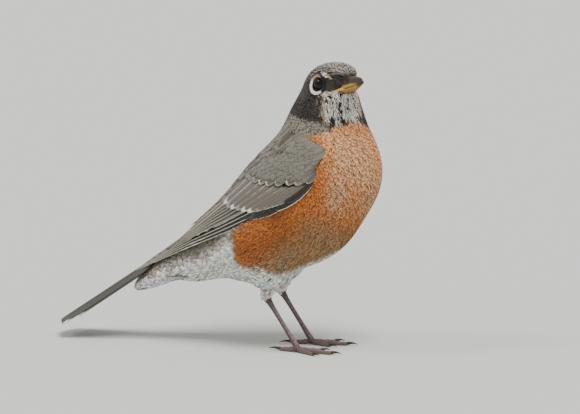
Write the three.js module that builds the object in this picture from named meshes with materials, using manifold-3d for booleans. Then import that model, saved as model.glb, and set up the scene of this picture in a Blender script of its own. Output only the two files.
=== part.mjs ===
import * as THREE from 'three';
import Module from 'manifold-3d';

// An american robin standing on both feet, head turned to its right. Millimetres, +X forward,
// +Y to the bird's left, +Z up, soles on z = 0. Forms are smooth unions of ellipsoids, surfaced
// along rays from a curved spine, so that one formula gives trunk, neck, head and rump.

const deg = Math.PI / 180;

// head
const eyeLine = [21.7, -3.9, 157.7];      // point midway between the eyes
const headYaw = -42;
const headPitch = 15;
const eyeRadius = 4.9;
const eyeBall = [-1.4, 7.1, 0];         // eyeball centre in the head's frame, mirrored for the right
const eyeAim = 22;                      // how far each eye looks forward of straight out
const lidHalf = 3.65;                   // half width of the opening between the lids
const eyeDent = 2.6;                    // how far the face sinks at the eye
const eyeDentRadius = 5.5;
const billTip = 34.1;                   // along the head's own forward axis
const billBack = 6.5;

// trunk
const spinePoints = [[-92, 0, 37], [-40, 0, 52], [24, 0, 88]];
const neckTurn = -39;                   // twist of the feather lines up the neck
const bodyBlend = 4;
const headBlend = 2;
const neckBlend = 3;
const ringColumns = 26;
const partGap = 0.3;                    // clearance between neighbouring solids

// folded wing
const wrist = [26, 0, 108];
const wingTip = [-99, 0, 39];
const wingSteps = 10;

// tail
const tailRoot = [-84, 0, 52];
const tailEnd = [-146, 0, 9.3];
const tailRootHalf = 9;
const tailEndHalf = 16;
const tailRoof = 3.2;                   // how far the outer edges hang below the middle

// legs
const ankles = { right: [-17.2, -11, 31.6], left: [-15.5, 11, 32] };
const feet = { right: [2.3, -13, 3.2], left: [2.5, 13, 3.2] };
const feetYaw = { right: -6, left: 8 };
const soleDepth = 0.8;                  // toe axis above the floor, in toe half widths
const toeList = [
  { name: 'inner', turn: 30, length: 14.5, claw: 5.2, size: 1.45 },
  { name: 'middle', turn: 2, length: 22, claw: 6, size: 1.6 },
  { name: 'outer', turn: -27, length: 15.5, claw: 5.2, size: 1.45 },
  { name: 'hallux', turn: 178, length: 11, claw: 7.5, size: 1.6 },
];

// small vector helpers on plain arrays
const add = (a, b) => [a[0] + b[0], a[1] + b[1], a[2] + b[2]];
const sub = (a, b) => [a[0] - b[0], a[1] - b[1], a[2] - b[2]];
const scale = (a, k) => [a[0] * k, a[1] * k, a[2] * k];
const dot = (a, b) => a[0] * b[0] + a[1] * b[1] + a[2] * b[2];
const cross = (a, b) => [
  a[1] * b[2] - a[2] * b[1],
  a[2] * b[0] - a[0] * b[2],
  a[0] * b[1] - a[1] * b[0],
];
const unit = (a) => scale(a, 1 / Math.hypot(...a));
const mix = (a, b, k) => a + (b - a) * k;
const clamp = (x, lo, hi) => Math.min(hi, Math.max(lo, x));
const smooth = (x) => {
  const c = clamp(x, 0, 1);
  return c * c * (3 - 2 * c);
};

// frame of something turned by yaw about Z and pitched nose-up: forward, left, up
function turned(yaw, pitch) {
  const y = yaw * deg;
  const p = pitch * deg;
  const forward = [Math.cos(p) * Math.cos(y), Math.cos(p) * Math.sin(y), Math.sin(p)];
  const left = [-Math.sin(y), Math.cos(y), 0];
  return [forward, left, cross(forward, left)];
}

const headFrame = turned(headYaw, headPitch);

function inHead(x, y, z) {
  let p = add(eyeLine, scale(headFrame[0], x));
  p = add(p, scale(headFrame[1], y));
  return add(p, scale(headFrame[2], z));
}

const egg = (centre, radii, pitch = 0) => ({ centre, radii, frame: turned(0, pitch) });
const headEgg = (centre, radii) => ({ centre: inHead(...centre), radii, frame: headFrame });

const trunkEggs = [
  egg([-5, 0, 86.5], [57, 31, 31.5], 50),         // trunk
  egg([16.6, 0, 104.7], [31.9, 28.3, 31.4], 55),      // breast
  egg([5.9, 0, 82], [31.4, 27, 28.4], 48),          // belly
  egg([-40, 0, 59], [36, 16.5, 13.5], 31),        // rump and vent
  egg([15.4, 0, 129.7], [26.6, 20.8, 22.1], 78),      // neck
  egg([-74, 0, 46.3], [31.5, 10.4, 6.9], 31),         // tail coverts
];
const thighEggs = [
  egg([-15, -14, 50], [12, 8.5, 13]),
  egg([-15, 14, 50], [12, 8.5, 13]),
];
const headEggs = [
  headEgg([-5.4, 0, 0.4], [17, 12.2, 11.6]),      // skull
  headEgg([5.4, 0, 4.1], [10.8, 11, 6.4]),        // forehead and brows
  headEgg([7.5, 0, -2.6], [11.8, 5.6, 6.4]),      // face
  headEgg([-7, 0, -8], [15.5, 14.4, 11.5]),       // cheeks and throat
  headEgg([1.5, 0, -10.3], [11.8, 9.2, 9]),       // chin
];
const wingEggs = [
  egg([-48, 0, 70], [34, 17.5, 9], 44),           // tertials over the rump
  egg([-79, 0, 50.2], [29, 7.5, 4.2], 33),        // primaries
];

// smooth union of ellipsoids, negative inside
function eggField(p, eggs, k) {
  let total = 0;
  for (const e of eggs) {
    const d = sub(p, e.centre);
    const q = e.frame.map((axis, i) => dot(d, axis) / e.radii[i]);
    const k0 = Math.hypot(...q);
    const k1 = Math.hypot(...q.map((c, i) => c / e.radii[i])) + 1e-9;
    total += Math.exp(clamp(-k0 * (k0 - 1) / k1 / k, -60, 60));
  }
  return -k * Math.log(total + 1e-300);
}

const eyeSkin = [inHead(1.5, -12, 0), inHead(1.5, 12, 0)];
const trunkAndThighs = [...trunkEggs, ...thighEggs];

function bodyField(p) {
  const a = eggField(p, trunkAndThighs, bodyBlend);
  let b = eggField(p, headEggs, headBlend);
  for (const e of eyeSkin) {
    const d = sub(p, e);
    b += eyeDent * Math.exp(-dot(d, d) / (eyeDentRadius * eyeDentRadius));
  }
  const m = Math.min(a, b);
  return m - neckBlend * Math.log(Math.exp(-(a - m) / neckBlend) + Math.exp(-(b - m) / neckBlend));
}

const drapeEggs = [...trunkEggs, ...wingEggs];
const drapeField = (p) => eggField(p, drapeEggs, bodyBlend);

// distance from o along d to the surface of a field
function reach(o, d, fieldAt) {
  let lo = 0;
  let hi = 90;
  for (let i = 0; i < 24; i += 1) {
    const mid = (lo + hi) / 2;
    if (fieldAt(add(o, scale(d, mid))) < 0) lo = mid;
    else hi = mid;
  }
  return (lo + hi) / 2;
}

const spine = [...spinePoints, inHead(-4, 0, -4)];
const headPole = unit(sub(inHead(19, 0, -1), spine[3]));

function spineAt(t) {
  const s = 1 - t;
  const w = [s * s * s, 3 * t * s * s, 3 * t * t * s, t * t * t];
  const g = [s * s, 2 * t * s, t * t];
  let p = [0, 0, 0];
  let q = [0, 0, 0];
  for (let i = 0; i < 4; i += 1) p = add(p, scale(spine[i], w[i]));
  for (let i = 0; i < 3; i += 1) q = add(q, scale(sub(spine[i + 1], spine[i]), 3 * g[i]));
  return { point: p, along: unit(q), speed: Math.hypot(...q) };
}

// ray of the body: t from -1 (tail cap) over 0..1 (spine) to 2 (bill), v round it from the left side
function bodyRay(t, v) {
  const { point, along } = spineAt(clamp(t, 0, 1));
  let left = unit(sub([0, 1, 0], scale(along, along[1])));
  let up = cross(along, left);
  const w = neckTurn * deg * smooth((clamp(t, 0, 1) - 0.66) / 0.34);
  left = add(scale(left, Math.cos(w)), scale(up, Math.sin(w)));
  up = cross(along, left);
  let d = add(scale(left, Math.cos(v)), scale(up, Math.sin(v)));
  if (t < 0 || t > 1) {
    const pole = t > 1 ? headPole : scale(along, -1);
    const k = t > 1 ? t - 1 : -t;
    const angle = Math.acos(clamp(dot(d, pole), -1, 1));
    d = add(scale(d, Math.sin((1 - k) * angle)), scale(pole, Math.sin(k * angle)));
    d = unit(d);
  }
  return [point, d];
}

function bodyPoint(t, v, extra = 0) {
  const [o, d] = bodyRay(t, v);
  return add(o, scale(d, reach(o, d, bodyField) + extra));
}

// value of a curve given by a few [x, y] pairs, eased between them
function curve(pairs, x) {
  const last = pairs.length - 1;
  if (x <= pairs[0][0]) return pairs[0][1];
  for (let i = 0; i < last; i += 1) {
    const [x0, y0] = pairs[i];
    const [x1, y1] = pairs[i + 1];
    if (x <= x1) {
      const before = pairs[Math.max(i - 1, 0)];
      const after = pairs[Math.min(i + 2, last)];
      const m0 = (y1 - before[1]) / (x1 - before[0]);
      const m1 = (after[1] - y0) / (after[0] - x0);
      const h = x1 - x0;
      const s = (x - x0) / h;
      return y0 * (1 + 2 * s) * (1 - s) ** 2 + m0 * h * s * (1 - s) ** 2
        + y1 * s * s * (3 - 2 * s) + m1 * h * s * s * (s - 1);
    }
  }
  return pairs[last][1];
}

// upper and lower edges of the folded wing: degrees above the side, along wrist to tip
const wingTop = [
  [-0.02, 38], [0.06, 60], [0.2, 72], [0.4, 78], [0.58, 80], [0.64, 66], [0.7, 31], [0.8, 20], [1, 15],
];
const wingLow = [
  [-0.02, 20], [0.03, 9], [0.06, 0], [0.1, -7], [0.22, -8.5], [0.55, -6.5], [0.7, -2], [0.82, 2], [1, 12.5],
];
const liftOut = [[0, 1.4], [0.2, 2], [0.6, 1.7], [0.8, 1.3], [1, 1.1]];
const wingThick = [[0, 2.2], [0.3, 2.4], [0.7, 2], [1, 1.3]];
const wingAlong = unit(sub(wingTip, wrist));
const wingUp = unit([-wingAlong[2], 0, wingAlong[0]].map((c) => -c));

// wing surface point: side is -1 right, +1 left; lift is measured from the drape
function wingPoint(side, a, u, depth) {
  const degreesUp = mix(curve(wingLow, a), curve(wingTop, a), u);
  const v = degreesUp * deg;
  const o = add(wrist, scale(sub(wingTip, wrist), a));
  const d = add(scale([0, side, 0], Math.cos(v)), scale(wingUp, Math.sin(v)));
  const settle = 1 - 0.9 * smooth((degreesUp - 35) / 35);
  const out = reach(o, d, drapeField) + curve(liftOut, a) * settle;
  return add(o, scale(d, out - depth));
}

// ------ meshes: lists of points and faces, wound outward

function fanEnd(mesh, ring, centre, flip) {
  const c = mesh.points.push(centre) - 1;
  const n = ring.length;
  for (let j = 0; j < n; j += 1) {
    const a = ring[j];
    const b = ring[(j + 1) % n];
    mesh.faces.push(flip ? [c, a, b] : [c, b, a]);
  }
}

// rings of equal length joined in order, each end closed by a fan to a point or by a strip
function loft(rings, startCentre, endCentre) {
  const mesh = { points: [], faces: [] };
  const index = rings.map((ring) => ring.map((p) => mesh.points.push(p) - 1));
  const n = rings[0].length;
  for (let i = 0; i + 1 < index.length; i += 1) {
    for (let j = 0; j < n; j += 1) {
      const a = index[i][j];
      const b = index[i][(j + 1) % n];
      const c = index[i + 1][(j + 1) % n];
      const d = index[i + 1][j];
      mesh.faces.push([a, b, c], [a, c, d]);
    }
  }
  const ends = [[index[0], startCentre, false], [index[index.length - 1], endCentre, true]];
  for (const [ring, centre, flip] of ends) {
    if (centre) {
      fanEnd(mesh, ring, centre, flip);
    } else {
      for (let j = 0; j + 1 < n / 2; j += 1) {
        const quad = [ring[j], ring[j + 1], ring[n - 2 - j], ring[n - 1 - j]];
        if (flip) mesh.faces.push([quad[0], quad[1], quad[2]], [quad[0], quad[2], quad[3]]);
        else mesh.faces.push([quad[0], quad[2], quad[1]], [quad[0], quad[3], quad[2]]);
      }
    }
  }
  return mesh;
}

const wasm = await Module();
wasm.setup();

function solid(mesh) {
  let volume = 0;
  for (const [a, b, c] of mesh.faces) {
    volume += dot(mesh.points[a], cross(mesh.points[b], mesh.points[c]));
  }
  const faces = volume < 0 ? mesh.faces.map(([a, b, c]) => [a, c, b]) : mesh.faces;
  const data = new wasm.Mesh({
    numProp: 3,
    vertProperties: new Float32Array(mesh.points.flat()),
    triVerts: new Uint32Array(faces.flat()),
  });
  return new wasm.Manifold(data);
}

// tube along a path of centres: section(k) gives half width and half height there
function tube(path, section, columns) {
  const rings = path.map((centre, i) => {
    const before = path[Math.max(i - 1, 0)];
    const after = path[Math.min(i + 1, path.length - 1)];
    const along = unit(sub(after, before));
    const guide = Math.abs(along[2]) > 0.8 ? [1, 0, 0] : [0, 0, 1];
    const side = unit(cross(guide, along));
    const up = cross(along, side);
    const [wide, high] = section(i / (path.length - 1));
    return Array.from({ length: columns }, (_, j) => {
      const a = 2 * Math.PI * j / columns;
      return add(centre, add(scale(side, wide * Math.cos(a)), scale(up, high * Math.sin(a))));
    });
  });
  return loft(rings, path[0], path[path.length - 1]);
}

function ball(centre, radii, frame, columns, rows) {
  const rings = [];
  for (let i = 1; i < rows; i += 1) {
    const b = Math.PI * i / rows;
    rings.push(Array.from({ length: columns }, (_, j) => {
      const a = 2 * Math.PI * j / columns;
      const q = [Math.cos(b), Math.sin(b) * Math.cos(a), Math.sin(b) * Math.sin(a)];
      return frame.reduce((p, axis, k) => add(p, scale(axis, q[k] * radii[k])), centre);
    }));
  }
  const pole = scale(frame[0], radii[0]);
  return loft(rings, add(centre, pole), sub(centre, pole));
}

// section of the body between two places on the spine
function bodySection(t0, t1, rows, extra = 0) {
  const rings = [];
  const ends = [];
  for (let i = 0; i <= rows; i += 1) {
    const t = mix(t0, t1, i / rows);
    rings.push(Array.from({ length: ringColumns }, (_, j) => (
      bodyPoint(t, 2 * Math.PI * j / ringColumns, extra))));
    if (i === 0 || i === rows) ends.push(spineAt(clamp(t, 0, 1)).point);
  }
  if (t1 > 1) ends[1] = bodyPoint(2, 0, extra);
  if (t0 < 0) ends[0] = bodyPoint(-1, 0, extra);
  return loft(rings, ends[0], ends[1]);
}

// folded wing panel between two lines along the wing; from0 and to1 are functions of u
function wingPanel(side, from, to, u0, u1, rows, columns, grow = 0, depth = 0) {
  const rings = [];
  const us = (s) => mix(u0, u1, s);
  for (let i = 0; i <= rows; i += 1) {
    const outer = [];
    const inner = [];
    for (let j = 0; j <= columns; j += 1) {
      const u = us(j / columns);
      const a = mix(from(u), to(u), i / rows);
      const edge = 1 - 0.35 * (Math.abs(2 * u - 1) ** 6);
      const thick = curve(wingThick, a) * edge;
      outer.push(wingPoint(side, a, u, -grow));
      inner.push(wingPoint(side, a, u, thick + depth));
    }
    rings.push([...outer, ...inner.reverse()]);
  }
  return loft(rings);
}

const covertsEnd = (u) => mix(0.36, 0.48, smooth(u / 0.8));
const flightSplit = (u) => mix(0.43, 0.7, smooth(u / 0.85));
const wingLength = Math.hypot(...sub(wingTip, wrist));
const gapAlong = 1.8 * partGap / wingLength;
const wingColumns = 7;

function wingSolids(side) {
  const panels = {
    coverts: [() => -0.02, (u) => covertsEnd(u) - gapAlong, 9, wingColumns],
    secondaries: [(u) => covertsEnd(u) + gapAlong, (u) => flightSplit(u) - gapAlong, 6, wingColumns],
    primaries: [(u) => flightSplit(u) + gapAlong, () => 1, wingSteps, wingColumns],
  };
  const out = {};
  for (const [name, [from, to, rows, columns]] of Object.entries(panels)) {
    out[name] = solid(wingPanel(side, from, to, 0, 1, rows, columns));
  }
  const pocket = wingPanel(side, () => -0.024, () => 1.01, -0.022, 1.022, 15, 8, 14, 2.2 * partGap);
  return { panels: out, pocket: solid(pocket) };
}

// bill: upper and lower mandible as rings along the head's forward axis
const culmen = [[6.5, 2.2], [14, 2.1], [19, 1.7], [24, 1], [28, 0.2], [31, -0.6], [33, -1.8], [34.1, -3.4]];
const cutting = [[6.5, -5.3], [12, -5.2], [20, -4.9], [27, -4.4], [31, -4.1], [34.1, -4]];
const gonys = [[6.5, -8.9], [14, -8.7], [20, -8], [26, -6.8], [30, -5.5], [32, -4.8], [32.8, -4.5]];
const billHalf = [[6.5, 5.4], [10, 5], [15, 4.4], [20, 3.7], [25, 2.8], [30, 1.6], [33, 0.7], [34.1, 0.35]];

function billRings(x0, x1, rows, grow, upper) {
  const rings = [];
  for (let i = 0; i <= rows; i += 1) {
    const x = mix(x0, x1, i / rows);
    const half = curve(billHalf, x) * (upper ? 1 : 0.86) + grow;
    const lip = curve(cutting, x) + (upper ? 0.1 - grow : -0.25 + grow);
    const far = upper ? curve(culmen, x) + grow : Math.min(curve(gonys, x), lip - 0.25) - grow;
    const ring = [];
    for (let j = 0; j <= 10; j += 1) {
      const a = Math.PI * j / 10;
      ring.push(inHead(x, half * Math.cos(a), mix(lip, far, Math.sin(a) ** 0.9)));
    }
    ring.push(inHead(x, -half * 0.4, lip));
    ring.push(inHead(x, half * 0.4, lip));
    rings.push(ring);
  }
  const middle = (ring) => scale(ring.reduce(add, [0, 0, 0]), 1 / ring.length);
  return loft(rings, middle(rings[0]), middle(rings[rings.length - 1]));
}

// tail: a shallow roof of overlapping feathers, cut lengthwise into a middle pair and two fans
function tailSlab(s0, s1, drop, thick) {
  const along = sub(tailEnd, tailRoot);
  const normal = unit([-along[2], 0, along[0]].map((c) => -c));
  const rings = [];
  const rows = 8;
  const columns = 3;
  for (let i = 0; i <= rows; i += 1) {
    const k = i / rows;
    const half = mix(tailRootHalf, tailEndHalf, k ** 0.8);
    const top = [];
    const under = [];
    for (let j = 0; j <= columns; j += 1) {
      const s = mix(s0, s1, j / columns);
      const round = k > 0.9 ? -2.5 * (k - 0.9) * 10 * s * s : 0;
      let p = add(tailRoot, scale(along, k));
      p = add(p, scale(unit(along), round));
      p = add(p, [0, s * half, 0]);
      p = add(p, scale(normal, -tailRoof * s * s - drop));
      top.push(p);
      under.push(sub(p, scale(normal, thick * (1 - 0.3 * k))));
    }
    rings.push([...top, ...under.reverse()]);
  }
  return loft(rings);
}

// ------ put together

const group = new THREE.Group();
const tones = {
  grey_feathers: '#6f6f6c',
  orange_feathers: '#b8612f',
  head_feathers: '#2b2926',
  flight_feathers: '#3b3b3c',
  vent_feathers: '#d9d8d4',
  bill_horn: '#b8923a',
  leg_skin: '#5a4642',
  claw_horn: '#2a2422',
  eye: '#120d0a',
};

function meshOf(name, slot, shape) {
  const { numProp, vertProperties, triVerts } = shape.getMesh();
  const flat = new Float32Array(triVerts.length * 3);
  triVerts.forEach((v, i) => {
    for (let c = 0; c < 3; c += 1) flat[3 * i + c] = vertProperties[numProp * v + c];
  });
  const geometry = new THREE.BufferGeometry();
  geometry.setAttribute('position', new THREE.BufferAttribute(flat, 3));
  geometry.computeVertexNormals();
  const material = new THREE.MeshStandardMaterial({ color: tones[slot], roughness: 0.8 });
  const mesh = new THREE.Mesh(geometry, material);
  mesh.name = name;
  group.add(mesh);
}

// body, in four sections along the spine
const cuts = { coverts: 0.26, trunk: 0.83, neck: 0.94 };
const rowCount = { rump: 7, trunk: 13, neck: 3, head: 12 };
const half = (t) => partGap / spineAt(t).speed;
const wings = { right: wingSolids(-1), left: wingSolids(1) };

let rump = solid(bodySection(-0.97, cuts.coverts - half(cuts.coverts), rowCount.rump));
const trunkRange = [cuts.coverts + half(cuts.coverts), cuts.trunk - half(cuts.trunk)];
let trunk = solid(bodySection(trunkRange[0], trunkRange[1], rowCount.trunk));
let neck = solid(bodySection(cuts.trunk + half(cuts.trunk), cuts.neck - half(cuts.neck), rowCount.neck));
let head = solid(bodySection(cuts.neck + half(cuts.neck), 1.97, rowCount.head));
for (const wing of Object.values(wings)) {
  rump = rump.subtract(wing.pocket);
  trunk = trunk.subtract(wing.pocket);
  neck = neck.subtract(wing.pocket);
}
const eyeCentre = (side) => inHead(eyeBall[0], side * eyeBall[1], eyeBall[2]);
for (const side of [-1, 1]) {
  const centre = eyeCentre(side);
  const r = eyeRadius + partGap;
  head = head.subtract(solid(ball(centre, [r, r, r], headFrame, 12, 6)));
  const aim = eyeAim * deg;
  const axis = add(scale(headFrame[0], Math.sin(aim)), scale(headFrame[1], side * Math.cos(aim)));
  const opening = [2.4, 9].map((k) => add(centre, scale(axis, k)));
  const flare = (k) => [lidHalf + 1.8 * k, lidHalf + 1.8 * k];
  head = head.subtract(solid(tube(opening, flare, 14)));
}
head = head.subtract(solid(billRings(billBack - partGap, 23, 4, partGap, true)));
head = head.subtract(solid(billRings(billBack - partGap, 23, 4, partGap, false)));

meshOf('head', 'head_feathers', head);
meshOf('neck', 'grey_feathers', neck);
meshOf('trunk', 'orange_feathers', trunk);
meshOf('tail_coverts', 'vent_feathers', rump);

for (const [name, side] of [['right', -1], ['left', 1]]) {
  const ballRadii = [eyeRadius, eyeRadius, eyeRadius];
  meshOf(`eye_${name}`, 'eye', solid(ball(eyeCentre(side), ballRadii, headFrame, 16, 8)));
}
meshOf('bill_upper', 'bill_horn', solid(billRings(billBack, billTip, 10, 0, true)));
meshOf('bill_lower', 'bill_horn', solid(billRings(billBack, billTip - 1.5, 9, 0, false)));

for (const name of ['right', 'left']) {
  for (const [panel, shape] of Object.entries(wings[name].panels)) {
    const slot = panel === 'coverts' ? 'grey_feathers' : 'flight_feathers';
    meshOf(`wing_${name}_${panel}`, slot, shape);
  }
}

const cutGap = partGap + 0.1;
const bodyCutter = solid(bodySection(-0.97, cuts.coverts, rowCount.rump, cutGap))
  .add(solid(bodySection(cuts.coverts, cuts.trunk, rowCount.trunk, cutGap)));
const tails = {
  tail_centre: tailSlab(-0.3, 0.3, 0, 1.3),
  tail_left: tailSlab(0.33, 1, 0.4, 1.3),
  tail_right: tailSlab(-1, -0.33, 0.4, 1.3),
};
for (const [name, mesh] of Object.entries(tails)) {
  let feather = solid(mesh).subtract(bodyCutter);
  for (const wing of Object.values(wings)) feather = feather.subtract(wing.pocket);
  meshOf(name, 'flight_feathers', feather);
}

// legs
const slab = (z) => [[-60, -60, z], [60, -60, z], [60, 60, z], [-60, 60, z]];
const ground = solid(loft([slab(-8), slab(0)], [0, 0, -8], [0, 0, 0]));
for (const name of ['right', 'left']) {
  const ankle = ankles[name];
  const foot = feet[name];
  const kneeward = add(ankle, [4, name === 'right' ? -1.5 : 1.5, 15]);
  const shank = sub(foot, ankle);
  const steps = [0, 0.06, 0.14, 0.3, 0.6, 0.85, 0.95, 1];
  const shankSize = [[0, 1.9], [0.06, 2.1], [0.14, 1.6], [0.3, 1.3], [0.6, 1.25], [0.85, 1.45], [1, 1.7]];
  const shankTube = (grow) => {
    const start = sub(ankle, scale(unit(shank), grow));
    const path = steps.map((k) => add(start, scale(sub(foot, start), k)));
    return solid(tube(path, (k) => {
      const size = curve(shankSize, steps[Math.round(k * (steps.length - 1))]) + grow;
      return [size * 0.9, size * 1.1];
    }, 10));
  };
  const thighPath = [0, 0.25, 0.5, 0.75, 1].map((k) => add(scale(kneeward, 1 - k), scale(ankle, k)));
  const thigh = solid(tube(thighPath, (k) => [mix(6, 3, k), mix(6.5, 3.2, k)], 12));
  meshOf(`leg_${name}_thigh`, 'vent_feathers', thigh.subtract(bodyCutter).subtract(shankTube(cutGap)));

  const hubAt = add(foot, [0, 0, -0.9]);
  const hubBall = (grow) => solid(ball(hubAt, [2.3 + grow, 2.2 + grow, 2 + grow], turned(0, 0), 10, 6));
  let toes = hubBall(0);
  let toesGrown = hubBall(partGap);
  const claws = [];
  for (const toe of toeList) {
    const yaw = (feetYaw[name] + (name === 'right' ? toe.turn : -toe.turn)) * deg;
    const out = [Math.cos(yaw), Math.sin(yaw), 0];
    const under = [foot[0], foot[1], 0];
    const girth = (k) => toe.size * (1 - 0.22 * k);
    const path = Array.from({ length: 8 }, (_, i) => {
      const k = i / 7;
      const height = soleDepth * girth(k) + 0.9 * (1 - k) * (1 - k);
      return add(add(under, scale(out, toe.length * k)), [0, 0, height]);
    });
    const toeTube = (grow) => solid(tube(path, (k) => {
      const knuckle = girth(k) * (1 + 0.06 * Math.cos(k * 6 * Math.PI)) + grow;
      return [knuckle, knuckle];
    }, 7));
    toes = toes.add(toeTube(0));
    toesGrown = toesGrown.add(toeTube(partGap));
    const from = add(add(under, scale(out, toe.length + partGap)), [0, 0, 1.4]);
    const clawPath = Array.from({ length: 6 }, (_, i) => {
      const k = i / 5;
      const arc = add(from, scale(out, toe.claw * k));
      return add(arc, [0, 0, 0.9 * Math.sin(Math.PI * 0.8 * k) - 1.1 * k]);
    });
    claws.push([toe.name, solid(tube(clawPath, (k) => [0.85 - 0.6 * k, 1 - 0.7 * k], 7)).subtract(ground)]);
  }
  for (const [toe, claw] of claws) meshOf(`claw_${name}_${toe}`, 'claw_horn', claw);
  meshOf(`leg_${name}_tarsus`, 'leg_skin', shankTube(0).subtract(toesGrown));
  meshOf(`foot_${name}`, 'leg_skin', toes.subtract(ground));
}

// the middle of the box's underside becomes the origin
const box = new THREE.Box3().setFromObject(group);
const middle = box.getCenter(new THREE.Vector3());
for (const mesh of group.children) mesh.geometry.translate(-middle.x, -middle.y, -box.min.z);

export default group;
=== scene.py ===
import bpy
import numpy as np
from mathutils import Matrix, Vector


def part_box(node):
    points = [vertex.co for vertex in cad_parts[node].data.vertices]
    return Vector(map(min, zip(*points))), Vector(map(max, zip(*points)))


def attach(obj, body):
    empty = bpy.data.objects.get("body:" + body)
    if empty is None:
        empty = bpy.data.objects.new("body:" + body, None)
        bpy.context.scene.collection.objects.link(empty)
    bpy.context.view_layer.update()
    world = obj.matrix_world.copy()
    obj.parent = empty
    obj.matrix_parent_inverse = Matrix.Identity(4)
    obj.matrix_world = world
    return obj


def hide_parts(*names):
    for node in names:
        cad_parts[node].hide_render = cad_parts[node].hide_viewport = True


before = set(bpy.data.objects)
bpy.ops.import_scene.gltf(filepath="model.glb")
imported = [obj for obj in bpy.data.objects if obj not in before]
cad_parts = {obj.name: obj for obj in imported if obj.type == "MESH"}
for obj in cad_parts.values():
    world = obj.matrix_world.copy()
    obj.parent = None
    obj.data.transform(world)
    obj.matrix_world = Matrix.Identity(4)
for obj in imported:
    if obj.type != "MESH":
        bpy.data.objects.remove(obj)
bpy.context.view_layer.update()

# An american robin, life size, standing with its head turned to its right. Shapes are worked out in
# millimetres in the bird's own frame (+X forward, +Y left, +Z up) and put into the meshes in metres.
# One form, a smooth union of ellipsoids, carries skin and coat. The coat is thousands of closed vanes
# laid on a chart of that form: arc length from the bill, and angle round the body.

deg = np.pi / 180


def unit(v):
    # vectors scaled to length 1
    return v / np.maximum(np.linalg.norm(v, axis=-1, keepdims=True), 1e-9)


def mix(a, b, k):
    # k of the way from a to b
    return a + (b - a) * k


def smooth(x):
    # 0..1, eased at both ends
    c = np.clip(x, 0, 1)
    return c * c * (3 - 2 * c)


def ramp(x, start, end):
    # 0 before start, 1 past end, eased between
    return smooth((x - start) / (end - start))


def curve(pairs, x):
    # eased line through (place, value) pairs: a cubic between neighbours, slopes from the pairs round them
    p = np.array(pairs, float)
    px, py = p[:, 0], p[:, 1]
    i = np.clip(np.searchsorted(px, x) - 1, 0, len(px) - 2)
    before, after = np.maximum(i - 1, 0), np.minimum(i + 2, len(px) - 1)
    h = px[i + 1] - px[i]
    k = np.clip((x - px[i]) / h, 0, 1)
    m0 = (py[i + 1] - py[before]) / (px[i + 1] - px[before]) * h
    m1 = (py[after] - py[i]) / (px[after] - px[i]) * h
    rise = py[i + 1] * k * k * (3 - 2 * k) + m1 * k * k * (k - 1)
    return py[i] * (1 + 2 * k) * (1 - k) ** 2 + m0 * k * (1 - k) ** 2 + rise


def roundAngles(count):
    # even steps round a full turn
    return np.arange(count) * 2 * np.pi / count


def tone(code):
    # a colour as written on screens, made linear
    c = np.array([int(code[i:i + 2], 16) / 255 for i in (0, 2, 4)])
    return np.where(c < 0.04045, c / 12.92, ((c + 0.055) / 1.055) ** 2.4)


def speckle(x, y, seed, wrap=0):
    # soft noise 0..1: a hashed number at each lattice point, eased between points; wrap closes it round x
    i, j = np.floor(x), np.floor(y)
    fx, fy = smooth(x - i), smooth(y - j)

    def corner(a, b):
        a = a % wrap if wrap else a
        return np.modf(np.abs(np.sin(a * 127.1 + b * 311.7 + seed * 74.7) * 43758.5453))[0]

    low = mix(corner(i, j), corner(i + 1, j), fx)
    high = mix(corner(i, j + 1), corner(i + 1, j + 1), fx)
    return mix(low, high, fy)


# where the head sits: the middle between the eyes in mm, and degrees
headPose = {"eyeLine": (21.7, -3.9, 157.7), "yaw": -42, "pitch": 15}


def turned(yaw, pitch):
    # columns forward, left and up of a frame yawed about Z, then pitched nose-up
    y, p = yaw * deg, pitch * deg
    forward = np.array([np.cos(p) * np.cos(y), np.cos(p) * np.sin(y), np.sin(p)])
    left = np.array([-np.sin(y), np.cos(y), 0.0])
    return np.stack([forward, left, np.cross(forward, left)], 1)


headFrame = turned(headPose["yaw"], headPose["pitch"])
eyeLine = np.array(headPose["eyeLine"])


def inHead(x, y, z):
    # place given forward, left and up of the head, in the bird's frame
    x, y, z = np.broadcast_arrays(np.asarray(x, float), y, z)
    return eyeLine + np.stack([x, y, z], -1) @ headFrame.T


def headward(p):
    # the same the other way round
    return (p - eyeLine) @ headFrame


def egg(centre, radii, pitch=0):
    # ellipsoid pitched nose-up by so many degrees
    return np.array(centre, float), np.array(radii, float), turned(0, pitch)


def headEgg(centre, radii):
    # ellipsoid that turns with the head
    return inHead(*centre), np.array(radii, float), headFrame


trunkEggs = [
    egg((-5, 0, 86.5), (57, 31, 31.5), 50),         # trunk
    egg((16.6, 0, 104.7), (31.9, 28.3, 31.4), 55),  # breast
    egg((5.9, 0, 82), (31.4, 27, 28.4), 48),        # belly
    egg((-40, 0, 59), (36, 16.5, 13.5), 31),        # rump and vent
    egg((15.4, 0, 129.7), (26.6, 20.8, 22.1), 78),  # neck
    egg((-74, 0, 46.3), (31.5, 10.4, 6.9), 31),     # tail coverts
]
thighEggs = [egg((-15, side * 14, 50), (12, 8.5, 13)) for side in (-1, 1)]
headEggs = [
    headEgg((-5.4, 0, 0.4), (17, 12.2, 11.6)),      # skull
    headEgg((5.4, 0, 4.1), (10.8, 11, 6.4)),        # forehead and brows
    headEgg((7.5, 0, -2.6), (11.8, 5.6, 6.4)),      # face
    headEgg((-7, 0, -8), (15.5, 14.4, 11.5)),       # cheeks and throat
    headEgg((1.5, 0, -10.3), (11.8, 9.2, 9)),       # chin
]
wingEggs = [
    egg((-48, 0, 70), (34, 17.5, 9), 44),           # tertials over the rump
    egg((-79, 0, 50.2), (29, 7.5, 4.2), 33),        # primaries
]
softness = {"trunk": 4, "head": 2, "joint": 3}      # mm over which neighbouring eggs melt together
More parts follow.
